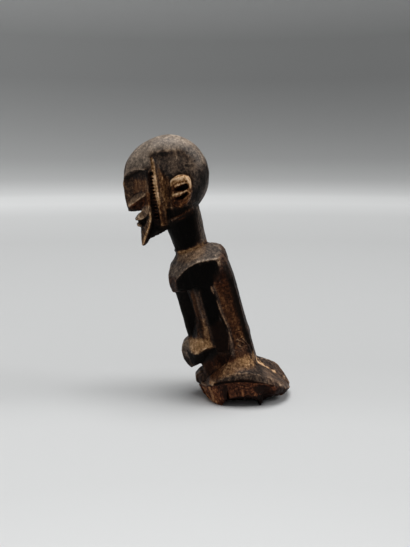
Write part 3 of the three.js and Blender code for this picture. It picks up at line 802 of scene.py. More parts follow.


# Place, its tone, grey and red, how strongly they are laid on, the width of its soft edge and its
# outline, (y, z) seen from the side. Both sides get them, and a later place lies over an earlier one.
# Some places are painted light: shade, sheen or highlight, as the note above each says.
places = [
    # The crown's pale grey is rubbed wood and a painted sheen of the light from above
    ("crown, rubbed grey with painted sheen", 0.72, 0.85, 0, 0.9, 3, [
        (-33, 106.4), (-27.8, 114.8), (-19.2, 119.1), (-8.5, 119.1), (-2.1, 114), (-0.9, 108.9),
        (-8.1, 110.2), (-17.1, 110.2), (-24.4, 108.1), (-30.5, 103),
    ]),
    # The back of the skull is painted pale grey, partly as a painted sheen of the light from above
    ("back of the skull", 0.68, 0.8, 0, 0.8, 2.5, [
        (-7.3, 116.5), (0, 113.2), (4.7, 103.4), (3, 92.7), (-1.3, 85.8), (-3.9, 92.7), (-4.7, 103.4),
        (-6.4, 109.8),
    ]),
    ("shaded back of the skull", 0.17, 0.5, 0, 0.93, 2.5, [
        (-3, 101.4), (0.9, 104.8), (3, 100.5), (1.7, 94.5), (-0.4, 90.3), (-3.4, 85.1), (-6.5, 85.5),
        (-5.6, 92),
    ]),
    # The forehead's pale grey is partly a painted sheen of the light from above
    ("forehead", 0.6, 0.8, 0, 0.85, 1, [
        (-35.6, 98), (-32, 109), (-23.9, 109.4), (-23.1, 103.1), (-27.8, 102), (-33, 99.2),
    ]),
    ("side of the skull below the hairline", 0.52, 0.55, 0, 0.85, 2, [
        (-22, 107), (-9.7, 108.2), (-4.7, 105.7), (-3, 94.8), (-5.1, 94.8), (-7.2, 99.8), (-16.6, 98.6),
        (-19.9, 103.2),
    ]),
    ("hairline", 0.2, 0.3, 0, 0.55, 0.8, [
        (-23.7, 107.8), (-19.9, 108.5), (-15.6, 108.7), (-14.4, 108.8), (-14.8, 108.2), (-17.3, 107.7),
        (-19.9, 107.4), (-23.3, 106.8),
    ]),
    # Painted shade: the side of the nose, turned away from the light, is darker than the cheek
    ("side of the nose", 0.43, 0.2, 0, 0.9, 0.7, [
        (-35.9, 96.9), (-31.6, 98.2), (-31.7, 90), (-33.9, 85.6), (-35.6, 90.4),
    ]),
    ("shadow under the brow", 0.14, 0.2, 0, 0.95, 0.25, [
        (-34.6, 97.2), (-32, 99.1), (-28.2, 101), (-24.7, 100.6), (-23.5, 98.9), (-24.8, 98.9),
        (-27.7, 100.1), (-31.2, 98.6), (-33.8, 96.7),
    ]),
    ("cheek", 0.56, 0.1, 0.25, 0.9, 0.8, [
        (-30.9, 97.3), (-24.8, 97.5), (-24.9, 90.7), (-27.5, 92.2), (-31, 90),
    ]),
    ("wing of the nose", 0.6, 0.3, 0, 0.95, 0.4, [
        (-33.8, 86.7), (-31.8, 89.1), (-29.2, 91), (-25.8, 92.3), (-24.9, 90.9), (-28, 88.7),
        (-30.6, 86.8), (-32.8, 85.1),
    ]),
    ("under the wing of the nose", 0.3, 0, 0.8, 0.95, 0.35, [
        (-33.3, 84.6), (-31.5, 86.5), (-28, 88.7), (-25.2, 90.4), (-25, 88.9), (-26.8, 84.6),
        (-28.1, 82.8), (-29.4, 84.1),
    ]),
    ("upper lip", 0.67, 0.3, 0, 0.95, 0.3, [
        (-30.5, 80.1), (-28, 83.4), (-26.3, 85.9), (-24.8, 87.2), (-23.5, 86.4), (-24.2, 83.4),
        (-25.9, 80.8), (-28.1, 79.5),
    ]),
    ("strip behind the nose", 0.42, 0, 0.4, 0.9, 0.4, [
        (-26.1, 86.1), (-25.2, 89.6), (-24.8, 92.1), (-23.3, 92.1), (-23.4, 86.1), (-24.6, 86.1),
    ]),
    # Painted shade in the gap between the lips
    ("gap between the lips", 0.04, 0, 0, 0.95, 0.25, [
        (-28.9, 79), (-26.1, 80.1), (-24.3, 82.5), (-24.1, 80.1), (-25.4, 77), (-27.6, 76.8),
        (-27.8, 78.1),
    ]),
    ("lower lip", 0.5, 0.3, 0, 0.9, 0.25, [
        (-30.3, 78.5), (-28.1, 78.5), (-27.7, 76.5), (-29.7, 75.8),
    ]),
    ("beard strip", 0.52, 0.2, 0, 0.95, 0.3, [
        (-27.2, 75.3), (-26.1, 77.9), (-24.3, 81), (-23.4, 85.8), (-22.3, 85.8), (-22.8, 81),
        (-23.5, 77), (-25.1, 73.5), (-26.9, 68.7), (-28, 68.3),
    ]),
    ("bright edge of the beard strip", 0.78, 0, 0.15, 0.9, 0.2, [
        (-23.8, 83.2), (-23.2, 83.6), (-23.1, 81), (-23.8, 77), (-25.3, 73.1), (-26.7, 69.1),
        (-27.2, 69.6), (-26.1, 73.5), (-24.5, 77.3), (-23.9, 80.5),
    ]),
    ("back edge of the beard", 0.12, 0, 0.6, 0.9, 0.25, [
        (-24.9, 73), (-23.1, 76.5), (-22.5, 75.6), (-25.4, 70.3), (-27.2, 68.1),
    ]),
    # Painted shade in the hollow behind the beard, on the side of the jaw that faces down
    ("hollow behind the beard", 0.02, 0, 0, 0.97, 0.5, [
        (-22.1, 82.8), (-19.5, 82.8), (-18.2, 75.4), (-21.3, 74.5), (-25.2, 70.6), (-23.4, 75.9),
    ]),
    ("notched groove", 0.13, 0, 0.3, 0.95, 0.3, [
        (-24.3, 100.2), (-22.8, 100.2), (-21.4, 93), (-20.4, 84.4), (-19.6, 77.5), (-22, 76.7),
        (-22.9, 86.6), (-23.9, 93),
    ]),
    ("temple hollow", 0.6, 0, 0.1, 0.9, 1, [
        (-20.3, 103.2), (-18.2, 100.7), (-14.9, 97.3), (-14.5, 86.2), (-16.7, 78.5), (-18.3, 88.8),
        (-19.6, 95.6),
    ]),
    ("ridge round the face", 0.75, 0, 0.1, 0.97, 0.5, [
        (-23.1, 106.6), (-22.1, 106.8), (-20.9, 100.8), (-19.7, 93.2), (-18.5, 86), (-17.9, 80.9),
        (-19.2, 80.9), (-20, 85.6), (-21.2, 91.1), (-22.2, 98.3),
    ]),
    ("foot of the face ridge", 0.38, 0, 0.2, 0.9, 0.8, [
        (-20.1, 86.8), (-18.3, 87.2), (-17.5, 82.9), (-16.1, 76.5), (-19.3, 76.5),
    ]),
    # Painted shade under the ear
    ("below the ear", 0.05, 0, 0, 0.95, 0.5, [
        (-16.5, 84.9), (-12.4, 85.1), (-6, 86.2), (-7.7, 83.4), (-14.6, 80.6), (-16.5, 80.2),
    ]),
    ("jaw ledge", 0.2, 0.1, 0.2, 0.9, 0.35, [
        (-14.6, 79.6), (-10.7, 81.3), (-7.7, 83), (-5.1, 84.9), (-4.7, 84.1), (-7.7, 81.7),
        (-10.7, 80.2), (-14.2, 78.7),
    ]),
    ("ear", 0.44, 0, 0.35, 0.85, 0.7, [
        (-14.9, 96.7), (-13.5, 98.4), (-11.4, 99.6), (-8.8, 99.8), (-6.7, 99.2), (-5.7, 97.1),
        (-5.3, 94.2), (-5.7, 91.2), (-6.6, 88.7), (-10.6, 85.3), (-14, 86.6),
    ]),
    ("lower lobe of the ear", 0.3, 0, 0.45, 0.85, 0.5, [
        (-13.9, 88.9), (-9.7, 88.9), (-7.6, 89.9), (-7.2, 87.8), (-10.6, 85.3), (-14, 85.7),
    ]),
    ("rim of the ear", 0.74, 0, 0.1, 0.95, 0.3, [
        (-15.2, 95.4), (-14.5, 97.5), (-12.6, 99), (-10.5, 99.6), (-8.4, 99.6), (-6.5, 98.6),
        (-5.7, 96.3), (-5.7, 94.2), (-6.9, 95), (-7.8, 96.9), (-10.5, 95.9), (-14.1, 94.6),
    ]),
    # Painted highlight where the edge of the ear rim catches the light
    ("bright edge of the ear rim", 1.05, 0, 0, 0.95, 0.2, [
        (-14.9, 95.8), (-13.5, 97.1), (-11.4, 97.8), (-8.8, 97.9), (-7.3, 97.4), (-6.6, 95.8),
        (-6.3, 93.7), (-5.7, 94.2), (-6, 96.3), (-6.9, 98), (-8.8, 98.7), (-11.4, 98.6), (-13.7, 97.9),
        (-15.1, 96.7),
    ]),
    # Painted shade of a shallow groove in the ear rim
    ("hollow in the ear rim", 0.44, 0, 0.4, 0.85, 0.25, [
        (-14.1, 95), (-11.4, 96.6), (-8, 97.3), (-7.7, 96.8), (-10.5, 96), (-13.9, 94.2),
    ]),
    # Painted highlight on the inner edge of the ear rim
    ("inner edge of the ear rim", 0.95, 0, 0.1, 0.9, 0.15, [
        (-12.9, 94.5), (-10.5, 95.4), (-7.8, 96.4), (-7.8, 96.9), (-10.5, 96.1), (-12.9, 95.1),
    ]),
    ("bar of the ear", 0.36, 0.1, 0.2, 0.95, 0.25, [
        (-14.8, 92.6), (-11.4, 92.9), (-8, 93.6), (-7.5, 93), (-10.1, 91), (-13.9, 90),
    ]),
    # Painted highlight on the edge of the ear bar
    ("bright edge of the ear bar", 0.98, 0, 0.1, 0.9, 0.18, [
        (-14.1, 90.5), (-12.2, 90.9), (-10.5, 91.4), (-8.9, 92.3), (-7.3, 93), (-7.6, 93.5), (-9, 92.9),
        (-10.5, 92.3), (-12.2, 91.8), (-14.1, 91.4),
    ]),
    # The two ear cuts are red raw wood darkened by painted shade
    ("upper ear cut", 0.1, 0, 0.8, 0.95, 0.25, [
        (-14.2, 92.7), (-11.4, 95), (-8.9, 96), (-7.4, 96.1), (-6.8, 94.4), (-8.9, 92.8), (-11.5, 92.6),
    ]),
    ("lower ear cut", 0.12, 0, 0.8, 0.95, 0.25, [
        (-13.6, 89), (-13, 90.1), (-10.2, 90.9), (-7.4, 93), (-7.2, 91.5), (-9.3, 89.2), (-11.5, 88.7),
    ]),
    # The neck is painted near black: smoke crust and painted shade together
    ("neck", 0, 0, 0, 0.98, 1.7, [
        (-17.2, 76.7), (-14.2, 78.4), (-4.3, 84), (-3, 71.4), (-6.1, 67.1), (-12.1, 65.3), (-15.5, 72.3),
    ]),
    # Painted sheen: the back of the neck is painted lighter grey for the light it reflects
    ("back of the neck", 0.5, 0.75, 0, 0.85, 1, [
        (-3.7, 85.4), (-0.9, 85.9), (2.2, 69.7), (-1.3, 69.3),
    ]),
    # The grey on the tops and fronts of the shoulders is partly rubbed wood and partly a painted sheen of
    # the light
    ("shoulders, rubbed, with painted sheen", 0.5, 0.65, 0, 0.9, 1.1, [
        (-16.8, 50.3), (-15.9, 61.2), (-11.6, 65.1), (0, 69.8), (6.8, 69), (8.1, 67.2), (6.2, 64.6),
        (4.3, 63.6), (-3.4, 62.5), (-8.6, 59), (-12, 54.6), (-12.5, 49.8), (-15.1, 49.8),
    ]),
    ("ring at the foot of the neck", 0.7, 0, 0, 0.95, 0.5, [
        (-12.1, 66), (-8.2, 67.1), (-3.5, 68.8), (0.9, 71), (1.7, 69.5), (-2.6, 67.1), (-7.4, 65.6),
        (-11.7, 64),
    ]),
    ("dusty front of the shoulders", 0.65, 0.25, 0, 0.7, 0.8, [
        (-12.1, 64.3), (-7.3, 66.1), (-2.6, 67.6), (0.9, 68.7), (0, 66.1), (-3.4, 64.3), (-9.1, 61.3),
        (-12.5, 62.2),
    ]),
    ("lower front of the shoulders", 0.26, 0.2, 0.3, 0.8, 0.6, [
        (-17.1, 54.9), (-12.7, 55.5), (-12.3, 52.6), (-11.4, 48.2), (-14.5, 48.2), (-16.7, 49.1),
    ]),
    # The steep side facet under the shoulder's ridge is painted black: smoke crust and the painted shade
    # under the ridge
    ("side facet of the shoulder", 0, 0, 0, 0.98, 0.35, [
        (-12.4, 54.5), (-8.5, 59.1), (-6.4, 60.8), (-3.4, 62.3), (0.4, 63.2), (4, 63.6), (5.7, 63),
        (6.2, 60.4), (5.8, 56.9), (3.8, 53.9), (2.8, 50.8), (-4.3, 50.2), (-11.6, 49.1),
    ]),
    ("back corner of the shoulder", 0.38, 0.4, 0.35, 0.9, 1.1, [
        (6, 63.5), (6.6, 65.7), (8.5, 67.8), (10.7, 64.8), (14.2, 51.3), (5.2, 52.2), (4.3, 53.9),
        (6, 57),
    ]),
    ("pale spot on the shoulder corner", 0.8, 0.4, 0, 0.9, 0.3, [
        (4.9, 63.5), (6.6, 63.5), (6.8, 61.7), (6, 60.6), (5.3, 62.1),
    ]),
    # The front and side of the column are painted near black: smoke crust and painted shade on faces
    # turned from the light
    ("front of the column", 0.06, 0.2, 0, 0.9, 0.8, [
        (-13.3, 48), (-9.3, 48), (-3.6, 27.1), (-7.6, 26.6),
    ]),
    ("side of the column", 0.05, 0.1, 0, 0.9, 0.8, [
        (-9.2, 48.4), (-6.2, 48.4), (-4, 39.9), (-3.1, 29.9), (-6.2, 30.3),
    ]),
    ("edge between column and arm", 0.36, 0, 0.2, 0.85, 0.4, [
        (-6.6, 49.3), (-4.8, 49.3), (-3.1, 39.4), (-2.2, 29.5), (-3.5, 29.5), (-4.4, 39.4),
    ]),
    ("front facet of the arm", 0.33, 0, 0.1, 0.9, 0.6, [
        (-5.6, 50.7), (-4.1, 50.7), (-2.8, 46.7), (-1.5, 42.8), (-0.2, 38.8), (0.9, 34.3), (3.1, 28),
        (-0.9, 28.5), (-2.6, 34.3), (-3.9, 40.5),
    ]),
    ("front edge of the arm", 0.42, 0.4, 0.1, 0.85, 0.25, [
        (-4.7, 51), (-3.5, 47.9), (-2.6, 44.9), (-1.6, 41.3), (-0.4, 38.2), (0.2, 35.1), (1.1, 32.5),
        (1.7, 29.4), (0.7, 29.4), (0, 32.5), (-0.9, 35.1), (-1.7, 38.2), (-2.7, 41.3), (-3.6, 44.9),
        (-4.4, 47.9), (-5.3, 51),
    ]),
    ("lower front edge of the arm", 0.68, 0.1, 0.1, 0.85, 0.6, [
        (-1.5, 37.2), (-0.4, 37.9), (0.6, 34.6), (1.7, 31), (2.2, 28.3), (-0.4, 28.3), (-0.7, 32.3),
    ]),
    # The side of the arm, under the shoulder's overhang, is painted black: smoke crust and painted shade
    ("side of the arm", 0, 0, 0, 0.98, 0.45, [
        (-2.4, 51.1), (2.1, 51.5), (4.3, 47.1), (5.6, 41.9), (6.3, 38.3), (5.2, 35.2), (2.4, 34.4),
        (0.4, 40.5), (-0.9, 45.4),
    ]),
    ("elbow", 0.07, 0, 0.3, 0.9, 0.8, [
        (2.4, 34.4), (5.6, 37), (8.2, 36.6), (10, 31.2), (10.6, 23.6), (5.2, 22.8), (4.1, 26.8),
    ]),
    ("raised back", 0.37, 0, 0.3, 0.92, 1.2, [
        (3.9, 52.4), (6, 57.7), (11.2, 58.6), (13.8, 52), (23.6, 20.4), (13.1, 19.9), (12.2, 27.2),
        (10.4, 33.4), (7.4, 40.5), (6, 45.8),
    ]),
    ("upper end of the raised back", 0.26, 0, 0.6, 0.8, 2, [
        (3.9, 56.6), (8.1, 60), (11.1, 58.3), (13.3, 51.3), (8.2, 50.4), (4.7, 52.2),
    ]),
    ("foot of the back", 0.48, 0.1, 0.2, 0.8, 1, [
        (13.1, 28.7), (19.7, 29.1), (23.2, 20.1), (14, 20.1),
    ]),
    ("back line in shade", 0.06, 0.1, 0, 0.85, 1.1, [
        (7.8, 61.1), (10.8, 62), (25.1, 19.6), (19.8, 19.6), (15.8, 34), (11.3, 49.7),
    ]),
    ("edge of the raised back", 0.37, 0.45, 0.05, 0.7, 0.35, [
        (2.6, 52.1), (3.9, 52.5), (5.8, 47.5), (7.1, 42.7), (8.4, 39.4), (10.4, 35.1), (11.7, 31.1),
        (12.8, 22.6), (11.5, 22.6), (10.6, 29.8), (9.3, 34.3), (7.6, 38.5), (6, 42.2), (4.7, 47.1),
    ]),
    ("groove before the raised back", 0.02, 0, 0, 0.95, 0.3, [
        (2.4, 50.9), (3.4, 50.9), (5.2, 46.1), (6.5, 41.2), (8.7, 37.2), (10.2, 32.3), (10.4, 29.2),
        (9.3, 32.3), (7.6, 36.3), (5.4, 41.2),
    ]),
    ("top of the hands", 0.8, 0, 0.05, 0.93, 1.1, [
        (-7.9, 26.8), (-5.7, 28), (-3.5, 28.4), (-0.9, 28.9), (1.8, 29.1), (3.5, 25.9), (4.4, 25),
        (-0.9, 23.2), (-4, 21.1), (-7.5, 22.3), (-9.2, 25),
    ]),
    ("front of the hands", 0.55, 0.6, 0, 0.9, 0.8, [
        (-11.6, 21.1), (-9.8, 25.3), (-7.1, 26.4), (-6.7, 22.5), (-4.9, 19.3), (-7.6, 18.3),
    ]),
    # Painted shade under the hands
    ("under the hands", 0.03, 0.3, 0, 0.93, 0.6, [
        (-7.9, 21.5), (-3.9, 20.3), (-0.9, 22.6), (4.6, 24.9), (5.3, 21.5), (0, 16.9), (-5.7, 15.1),
    ]),
    ("flank", 0.2, 0, 0.6, 0.9, 1.2, [
        (-0.4, 16.3), (4.8, 21.3), (10.5, 22.2), (14, 20.4), (8.3, 15.9), (3.1, 10.4), (0, 12.2),
    ]),
    ("knob", 0.4, 0.3, 0.2, 0.8, 0.6, [
        (-4.9, 11.5), (-2.2, 14.3), (0.4, 14.3), (1.3, 7.8), (-2.2, 5.9),
    ]),
    ("top of the hips", 0.62, 0.1, 0.1, 0.95, 1.3, [
        (1.3, 10.9), (4.8, 15.6), (10.9, 19.4), (17.3, 21.7), (22.1, 21.9), (23.4, 18.5), (25, 15.6),
        (23.5, 13.8), (19.6, 14.7), (14.4, 14.3), (9.1, 12.2), (4.4, 9.1),
    ]),
    ("brightest part of the hips", 0.8, 0, 0.05, 0.85, 1.6, [
        (14.3, 21.2), (18.2, 21.9), (22.5, 21.9), (24.7, 19), (22.2, 17.6), (18.7, 17.9), (15.2, 18.3),
    ]),
    ("lower front of the hips", 0.36, 0, 0.3, 0.85, 2, [
        (0.4, 10.3), (3.3, 15), (5.9, 17), (6.9, 14.8), (4.6, 11.2),
    ]),
    # The belt's grey is a painted sheen of the light from above on its glossy facets
    ("belt of the hips", 0.33, 0.45, 0, 0.92, 0.9, [
        (3.9, 10.6), (8.6, 13.5), (14.6, 15.8), (21.4, 16.9), (27.9, 15.1), (35.3, 9.7), (30.1, 10.4),
        (22.8, 12.4), (15, 13.1), (10.7, 12.6), (6.4, 11.1),
    ]),
    ("front end of the belt", 0.86, 0.2, 0.2, 0.9, 0.35, [
        (1.5, 8.9), (2.4, 10.3), (3.9, 10.6), (5, 9.7), (3.3, 8.6),
    ]),
    ("shaded end of the belt", 0.26, 0.3, 0.3, 0.85, 1.2, [
        (27.4, 12.5), (30, 13), (34.3, 10.7), (37.4, 7.6), (34, 7.6), (28.7, 9.2),
    ]),
    # Painted shade in the crease under the overhanging belt
    ("crease under the belt", 0.02, 0, 0.5, 0.95, 0.3, [
        (3.9, 10), (7.3, 11.4), (11.2, 12.3), (15, 12.8), (19.3, 12.6), (23.6, 11.6), (27.1, 10.4),
        (23.6, 11.1), (19.3, 11.5), (15, 11.8), (11.2, 11.3), (7.3, 10.3), (3.9, 8.8),
    ]),
    # The buttocks' greyer tone is partly a painted sheen of the light from above
    ("buttocks", 0.54, 0.5, 0.1, 0.85, 1.2, [
        (23.6, 19.2), (31.6, 16.9), (38.4, 12.7), (42.1, 4.4), (37.2, 4.4), (29, 10.4), (25.4, 14.6),
    ]),
    ("rear of the buttocks", 0.4, 0.4, 0.2, 0.8, 1.5, [
        (31.9, 12.9), (35.9, 13.3), (40.9, 6.9), (39.6, 3.6), (36.5, 5.9),
    ]),
]
painted = {}
for place_name, tone, ash, red, strength, soft, outline in places:
    ragged = within(points, outline) + patchy * 0.5 * min(soft, 1)
    painted[place_name] = soft_step(ragged, -soft, soft) * strength
    paint(painted[place_name], tone=tone, ash=ash, red=red)

# The notches in the groove, the break, the temple, the lump behind and the flat back
broken_wood = below_belt(points)
z = points[:, 2]
teeth = soft_step(np.cos((z - first_tooth) / tooth_pitch * 2 * math.pi), -0.1, 0.4)
teeth *= soft_step(z, 78, 92) * 0.6 + 0.4
groove_back = [(-22.7, 100), (-21.6, 100), (-20.2, 86), (-18.9, 77), (-20.4, 77), (-21.6, 86)]
colour_levels["tone"] += soft_step(within(points, groove_back), -0.1, 0.2) * teeth * 0.3
# The break's tone is kept off the painted shade of the crease under the belt
paint(broken_wood * 0.9 * (1 - painted["crease under the belt"]), tone=0.34)
splintered = broken_wood * soft_step(near(points, (12, 4, 5), (10, 5, 7)), 0, 0.4)
colour_levels["tone"] += splintered * (0.16 + fibres * 0.2)
temple = soft_step(near(points, (9, -17, 91), (5, 5, 16)), 0, 0.4)
colour_levels["tone"] += temple * fibres * 0.16
colour_levels["tone"] -= soft_step(near(points, (16, 27.4, 3), (6, 6, 5)), 0, 0.5) * 0.22
flat_back = soft_step(normals[:, 1], 0.45, 0.8) * soft_step(z, 14, 17) * (z < 70)
paint(flat_back * 0.85, tone=0.27 + patchy * 0.1)
paint(flat_back, red=0.2, ash=0.35)

# Edges and bulges are made pale, by wear and as a painted highlight on ridges, and hollows hold
# soot, less so where the wood is already black
tone = colour_levels["tone"]
tone += 0.36 * wear_and_highlight_on_edges * soft_step(tone, 0.08, 0.4) - 0.24 * sunk * soft_step(tone, 0.05, 0.5)
tone += (patchy * (0.19 + broken_wood * 0.14) + streaks * 0.08) * soft_step(tone, 0, 0.3)
paint(broken_wood, red=0.95)

# Pale splinters of the break, and dark strips in its split, its hollows and along its underside,
# which are painted shade: tone, red and outline
break_strips = [
    (0.74, 0.7, [
        (-2.6, 7.3), (0.4, 8.9), (2.6, 7.3), (4, 3.6), (4.2, -0.5), (3.2, -0.5), (3, 3.4), (1.7, 6.4),
        (0.3, 7.9), (-2, 6.2),
    ]),
    (0.74, 0.7, [(-1.2, 5.2), (1.1, 1.9), (2.4, -0.5), (3.2, -0.5), (1.8, 2.2), (-0.3, 5.4)]),
    (0.14, 0.7, [(7.8, 9.4), (9.5, 10.1), (10.2, 6.7), (10, 3.1), (8.4, 2.7), (7.6, 6.3)]),
    (0.16, 0.7, [(21.1, 9.4), (25.4, 10.1), (28.5, 8.1), (27.2, 4.9), (22.9, 5.6), (21.2, 7.4)]),
    (0.08, 0.5, [
        (8.2, 2.9), (11.7, 4.5), (17.7, 4.9), (24.6, 5.2), (29.4, 4.7), (29.5, -0.5), (23, -0.5),
        (20.4, 1.8), (8.2, 2),
    ]),
    (0.16, 0.6, [(30.8, 7.4), (37.3, 8.8), (37.4, 2.9), (28.3, 2.5)]),
]
for tone, red, strip in break_strips:
    part = soft_step(within(points, strip) + fibres * 0.3, -0.25, 0.3) * broken_wood
    paint(part, tone=tone, red=red)

# Pale lines: chips by the cleft, the jaw ledges and the scratches at the foot of the back, knocked
# or rubbed down to pale wood, a splintered edge of the break, and painted highlights where the
# brow's edge, the edge of the raised back and the break's top rim catch the light: line, half width,
# tone, red and grey
cleft_edge = [
    (7.4, 22.8, 18.6), (6.2, 24.2, 16.8), (5.7, 25.5, 15.4), (6, 26.7, 14.5), (3.8, 27.7, 13.2),
    (1.1, 28.5, 12.3), (0.4, 30.3, 10.9), (-1.2, 31.6, 9.9),
]
second_chip = [(-2.8, 24.1, 15.5), (-0.7, 24.9, 15), (0.4, 26.4, 14)]
# Painted highlight where the brow's edge catches the light
brow_rim = [
    (2.4, -34.9, 98.9), (4, -34.2, 100), (6, -32.4, 101.2), (8, -29.8, 101.9), (9.4, -26.2, 101.6),
]
upper_ledge = [(8.3, -14.6, 80.6), (8.6, -10, 82.4), (6.8, -5.4, 85.2)]
lower_ledge = [(8.4, -14.4, 78.9), (8.2, -10, 80.6), (6.2, -5, 83.4)]
# Painted highlight along the edge of the raised back
back_edge = leaning([
    (13.6, 2.1, 36.1), (13.5, 2.8, 29.1), (13.4, 3.5, 22.5), (13.4, 4.4, 15.8), (13.4, 4.3, 10),
])
break_edge = [(14, 2.6, 10.1), (14, 3.5, 6), (14, 3.5, 1.4)]
# Pale raw wood at the top rim of the break, with a painted highlight where it catches the light
break_rim = [(6, -2.4, 7.6), (11, -0.6, 9.2), (15, 2.8, 10)]
pale_chips_and_painted_highlights = [
    (cleft_edge, 2, 1, 0.3, 0),
    (second_chip, 1.6, 0.9, 0.3, 0),
    (back_edge, 0.55, 0.66, 0.1, 0.3),
    (break_edge, 1.3, 0.75, 0.6, 0),
    (break_rim, 1.2, 0.7, 0.6, 0),
    (upper_ledge, 0.55, 0.38, 0.3, 0),
    (lower_ledge, 0.55, 0.34, 0.4, 0),
    (brow_rim, 0.9, 0.7, 0, 0.6),
]
for ends in foot_marks:
    pale_chips_and_painted_highlights.append(([(x, y, z + 0.45) for x, y, z in ends], 0.6, 0.68, 0.1, 0.3))
flecks = cloud(points, 1.3, 26)
for ends, width, tone, red, ash in pale_chips_and_painted_highlights:
    chip_and_highlight_line = line(points, ends, width) * (1 + patchy * 0.7 + flecks * 0.7)
    paint(soft_step(chip_and_highlight_line, 0.2, 0.7), tone=tone, red=red, ash=ash)
for name, level in colour_levels.items():
    attribute = carving.data.attributes.new(name, "FLOAT", "POINT")
    attribute.data.foreach_set("value", np.clip(level, 0, 1))
carving.data.transform(Matrix.Translation((0, -drawn_behind, 0)))
carving.data.transform(Matrix.Scale(MM, 4))
for polygon in carving.data.polygons:
    polygon.use_smooth = True


def srgb(code):
    """An sRGB hex colour as linear red, green, blue and alpha."""
    channels = [int(code[i:i + 2], 16) / 255 for i in (1, 3, 5)]
    return [c / 12.92 if c <= 0.04045 else ((c + 0.055) / 1.055) ** 2.4 for c in channels] + [1]


def add_node(tree, kind, settings=None, inputs=None, stops=()):
    """One new node of a material, with its settings, its inputs or links and its ramp's colours."""
    made = tree.nodes.new(kind)
    for name, value in (settings or {}).items():
        setattr(made, name, value)
    for socket, value in (inputs or {}).items():
        if isinstance(value, bpy.types.NodeSocket):
            tree.links.new(value, made.inputs[socket])
        else:
            made.inputs[socket].default_value = value
    if stops:
        colours = made.color_ramp.elements
        while len(colours) < len(stops):
            colours.new(0.5)
        for element, (place, code) in zip(colours, stops):
            element.position = place
            element.color = srgb(code)
    return made


# Close-grained hardwood, knife-cut, blackened in the smoke of fires and polished by hands. To the
# eye it is black and nearly dull where it is sheltered, grey-brown with a soft sheen where hands
# wore it, and red-brown with open fibres where it is raw. Its colours come from the levels above,
# so part of its black is painted shade and part of its grey is painted sheen and highlight. The
# soot is worn off in flecks of about 1.1 mm. Fibres of about 0.1 mm are drawn 0.5 mm wide, to show
# at all, and seven times as long.
fleck_size = 1.1
fibre_width = 0.5
fibre_squeeze = 0.14
wood_with_painted_light = bpy.data.materials.new("smoked_hardwood_with_painted_light")
wood_with_painted_light.use_nodes = True
tree = wood_with_painted_light.node_tree
place = add_node(tree, "ShaderNodeTexCoord").outputs["Object"]
grain_place = add_node(tree, "ShaderNodeMapping", inputs={
    "Vector": place, "Rotation": (-lean, 0, 0), "Scale": (1, 1, fibre_squeeze),
}).outputs[0]
tone_read = add_node(tree, "ShaderNodeAttribute", {"attribute_name": "tone"}).outputs["Fac"]
red_read = add_node(tree, "ShaderNodeAttribute", {"attribute_name": "red"}).outputs["Fac"]
ash_read = add_node(tree, "ShaderNodeAttribute", {"attribute_name": "ash"}).outputs["Fac"]
mottle = add_node(tree, "ShaderNodeTexNoise", inputs={
    "Vector": place, "Scale": 1 / (fleck_size * MM), "Detail": 6, "Roughness": 0.72,
}).outputs["Fac"]
grain = add_node(tree, "ShaderNodeTexNoise", inputs={
    "Vector": grain_place, "Scale": 1 / (fibre_width * MM), "Detail": 3, "Roughness": 0.6,
}).outputs["Fac"]
# Flecks and fibres shift the tone up and down, with less room to do so where it is black
mottle_shift = add_node(tree, "ShaderNodeMath", {"operation": "MULTIPLY_ADD"}, {
    0: mottle, 1: 1.1, 2: -0.55,
}).outputs[0]
grain_shift = add_node(tree, "ShaderNodeMath", {"operation": "MULTIPLY_ADD"}, {
    0: grain, 1: 0.26, 2: -0.13,
}).outputs[0]
shift = add_node(tree, "ShaderNodeMath", inputs={0: mottle_shift, 1: grain_shift}).outputs[0]
room = add_node(tree, "ShaderNodeMapRange", inputs={
    "Value": tone_read, "From Min": 0, "From Max": 0.35, "To Min": 0.25, "To Max": 1,
}).outputs[0]
shift = add_node(tree, "ShaderNodeMath", {"operation": "MULTIPLY"}, {0: shift, 1: room}).outputs[0]
level = add_node(tree, "ShaderNodeMath", inputs={0: tone_read, 1: shift}).outputs[0]
brown = add_node(tree, "ShaderNodeValToRGB", inputs={"Fac": level}, stops=[
    (0, "#050403"), (0.2, "#160e09"), (0.4, "#352012"), (0.55, "#5c3e25"), (0.7, "#866340"),
    (0.85, "#b38b61"), (1, "#e3c09b"),
]).outputs["Color"]
raw = add_node(tree, "ShaderNodeValToRGB", inputs={"Fac": level}, stops=[
    (0, "#0c0504"), (0.25, "#2c150b"), (0.45, "#562c18"), (0.6, "#784526"), (0.8, "#a87143"),
    (1, "#d2a06c"),
]).outputs["Color"]
grey = add_node(tree, "ShaderNodeValToRGB", inputs={"Fac": level}, stops=[
    (0, "#080808"), (0.3, "#262321"), (0.55, "#575049"), (0.75, "#83786d"), (1, "#b9aa9b"),
]).outputs["Color"]
# The grey level greys the brown, for dust and for painted sheen
colour = add_node(tree, "ShaderNodeMix", {"data_type": "RGBA"}, {
    0: ash_read, 6: brown, 7: grey,
}).outputs[2]
colour = add_node(tree, "ShaderNodeMix", {"data_type": "RGBA"}, {
    0: red_read, 6: colour, 7: raw,
}).outputs[2]
height = add_node(tree, "ShaderNodeMath", inputs={0: mottle, 1: grain}).outputs[0]
grain_depth = 0.12
bumps = add_node(tree, "ShaderNodeBump", inputs={
    "Height": height, "Strength": 0.6, "Distance": grain_depth * MM,
}).outputs[0]
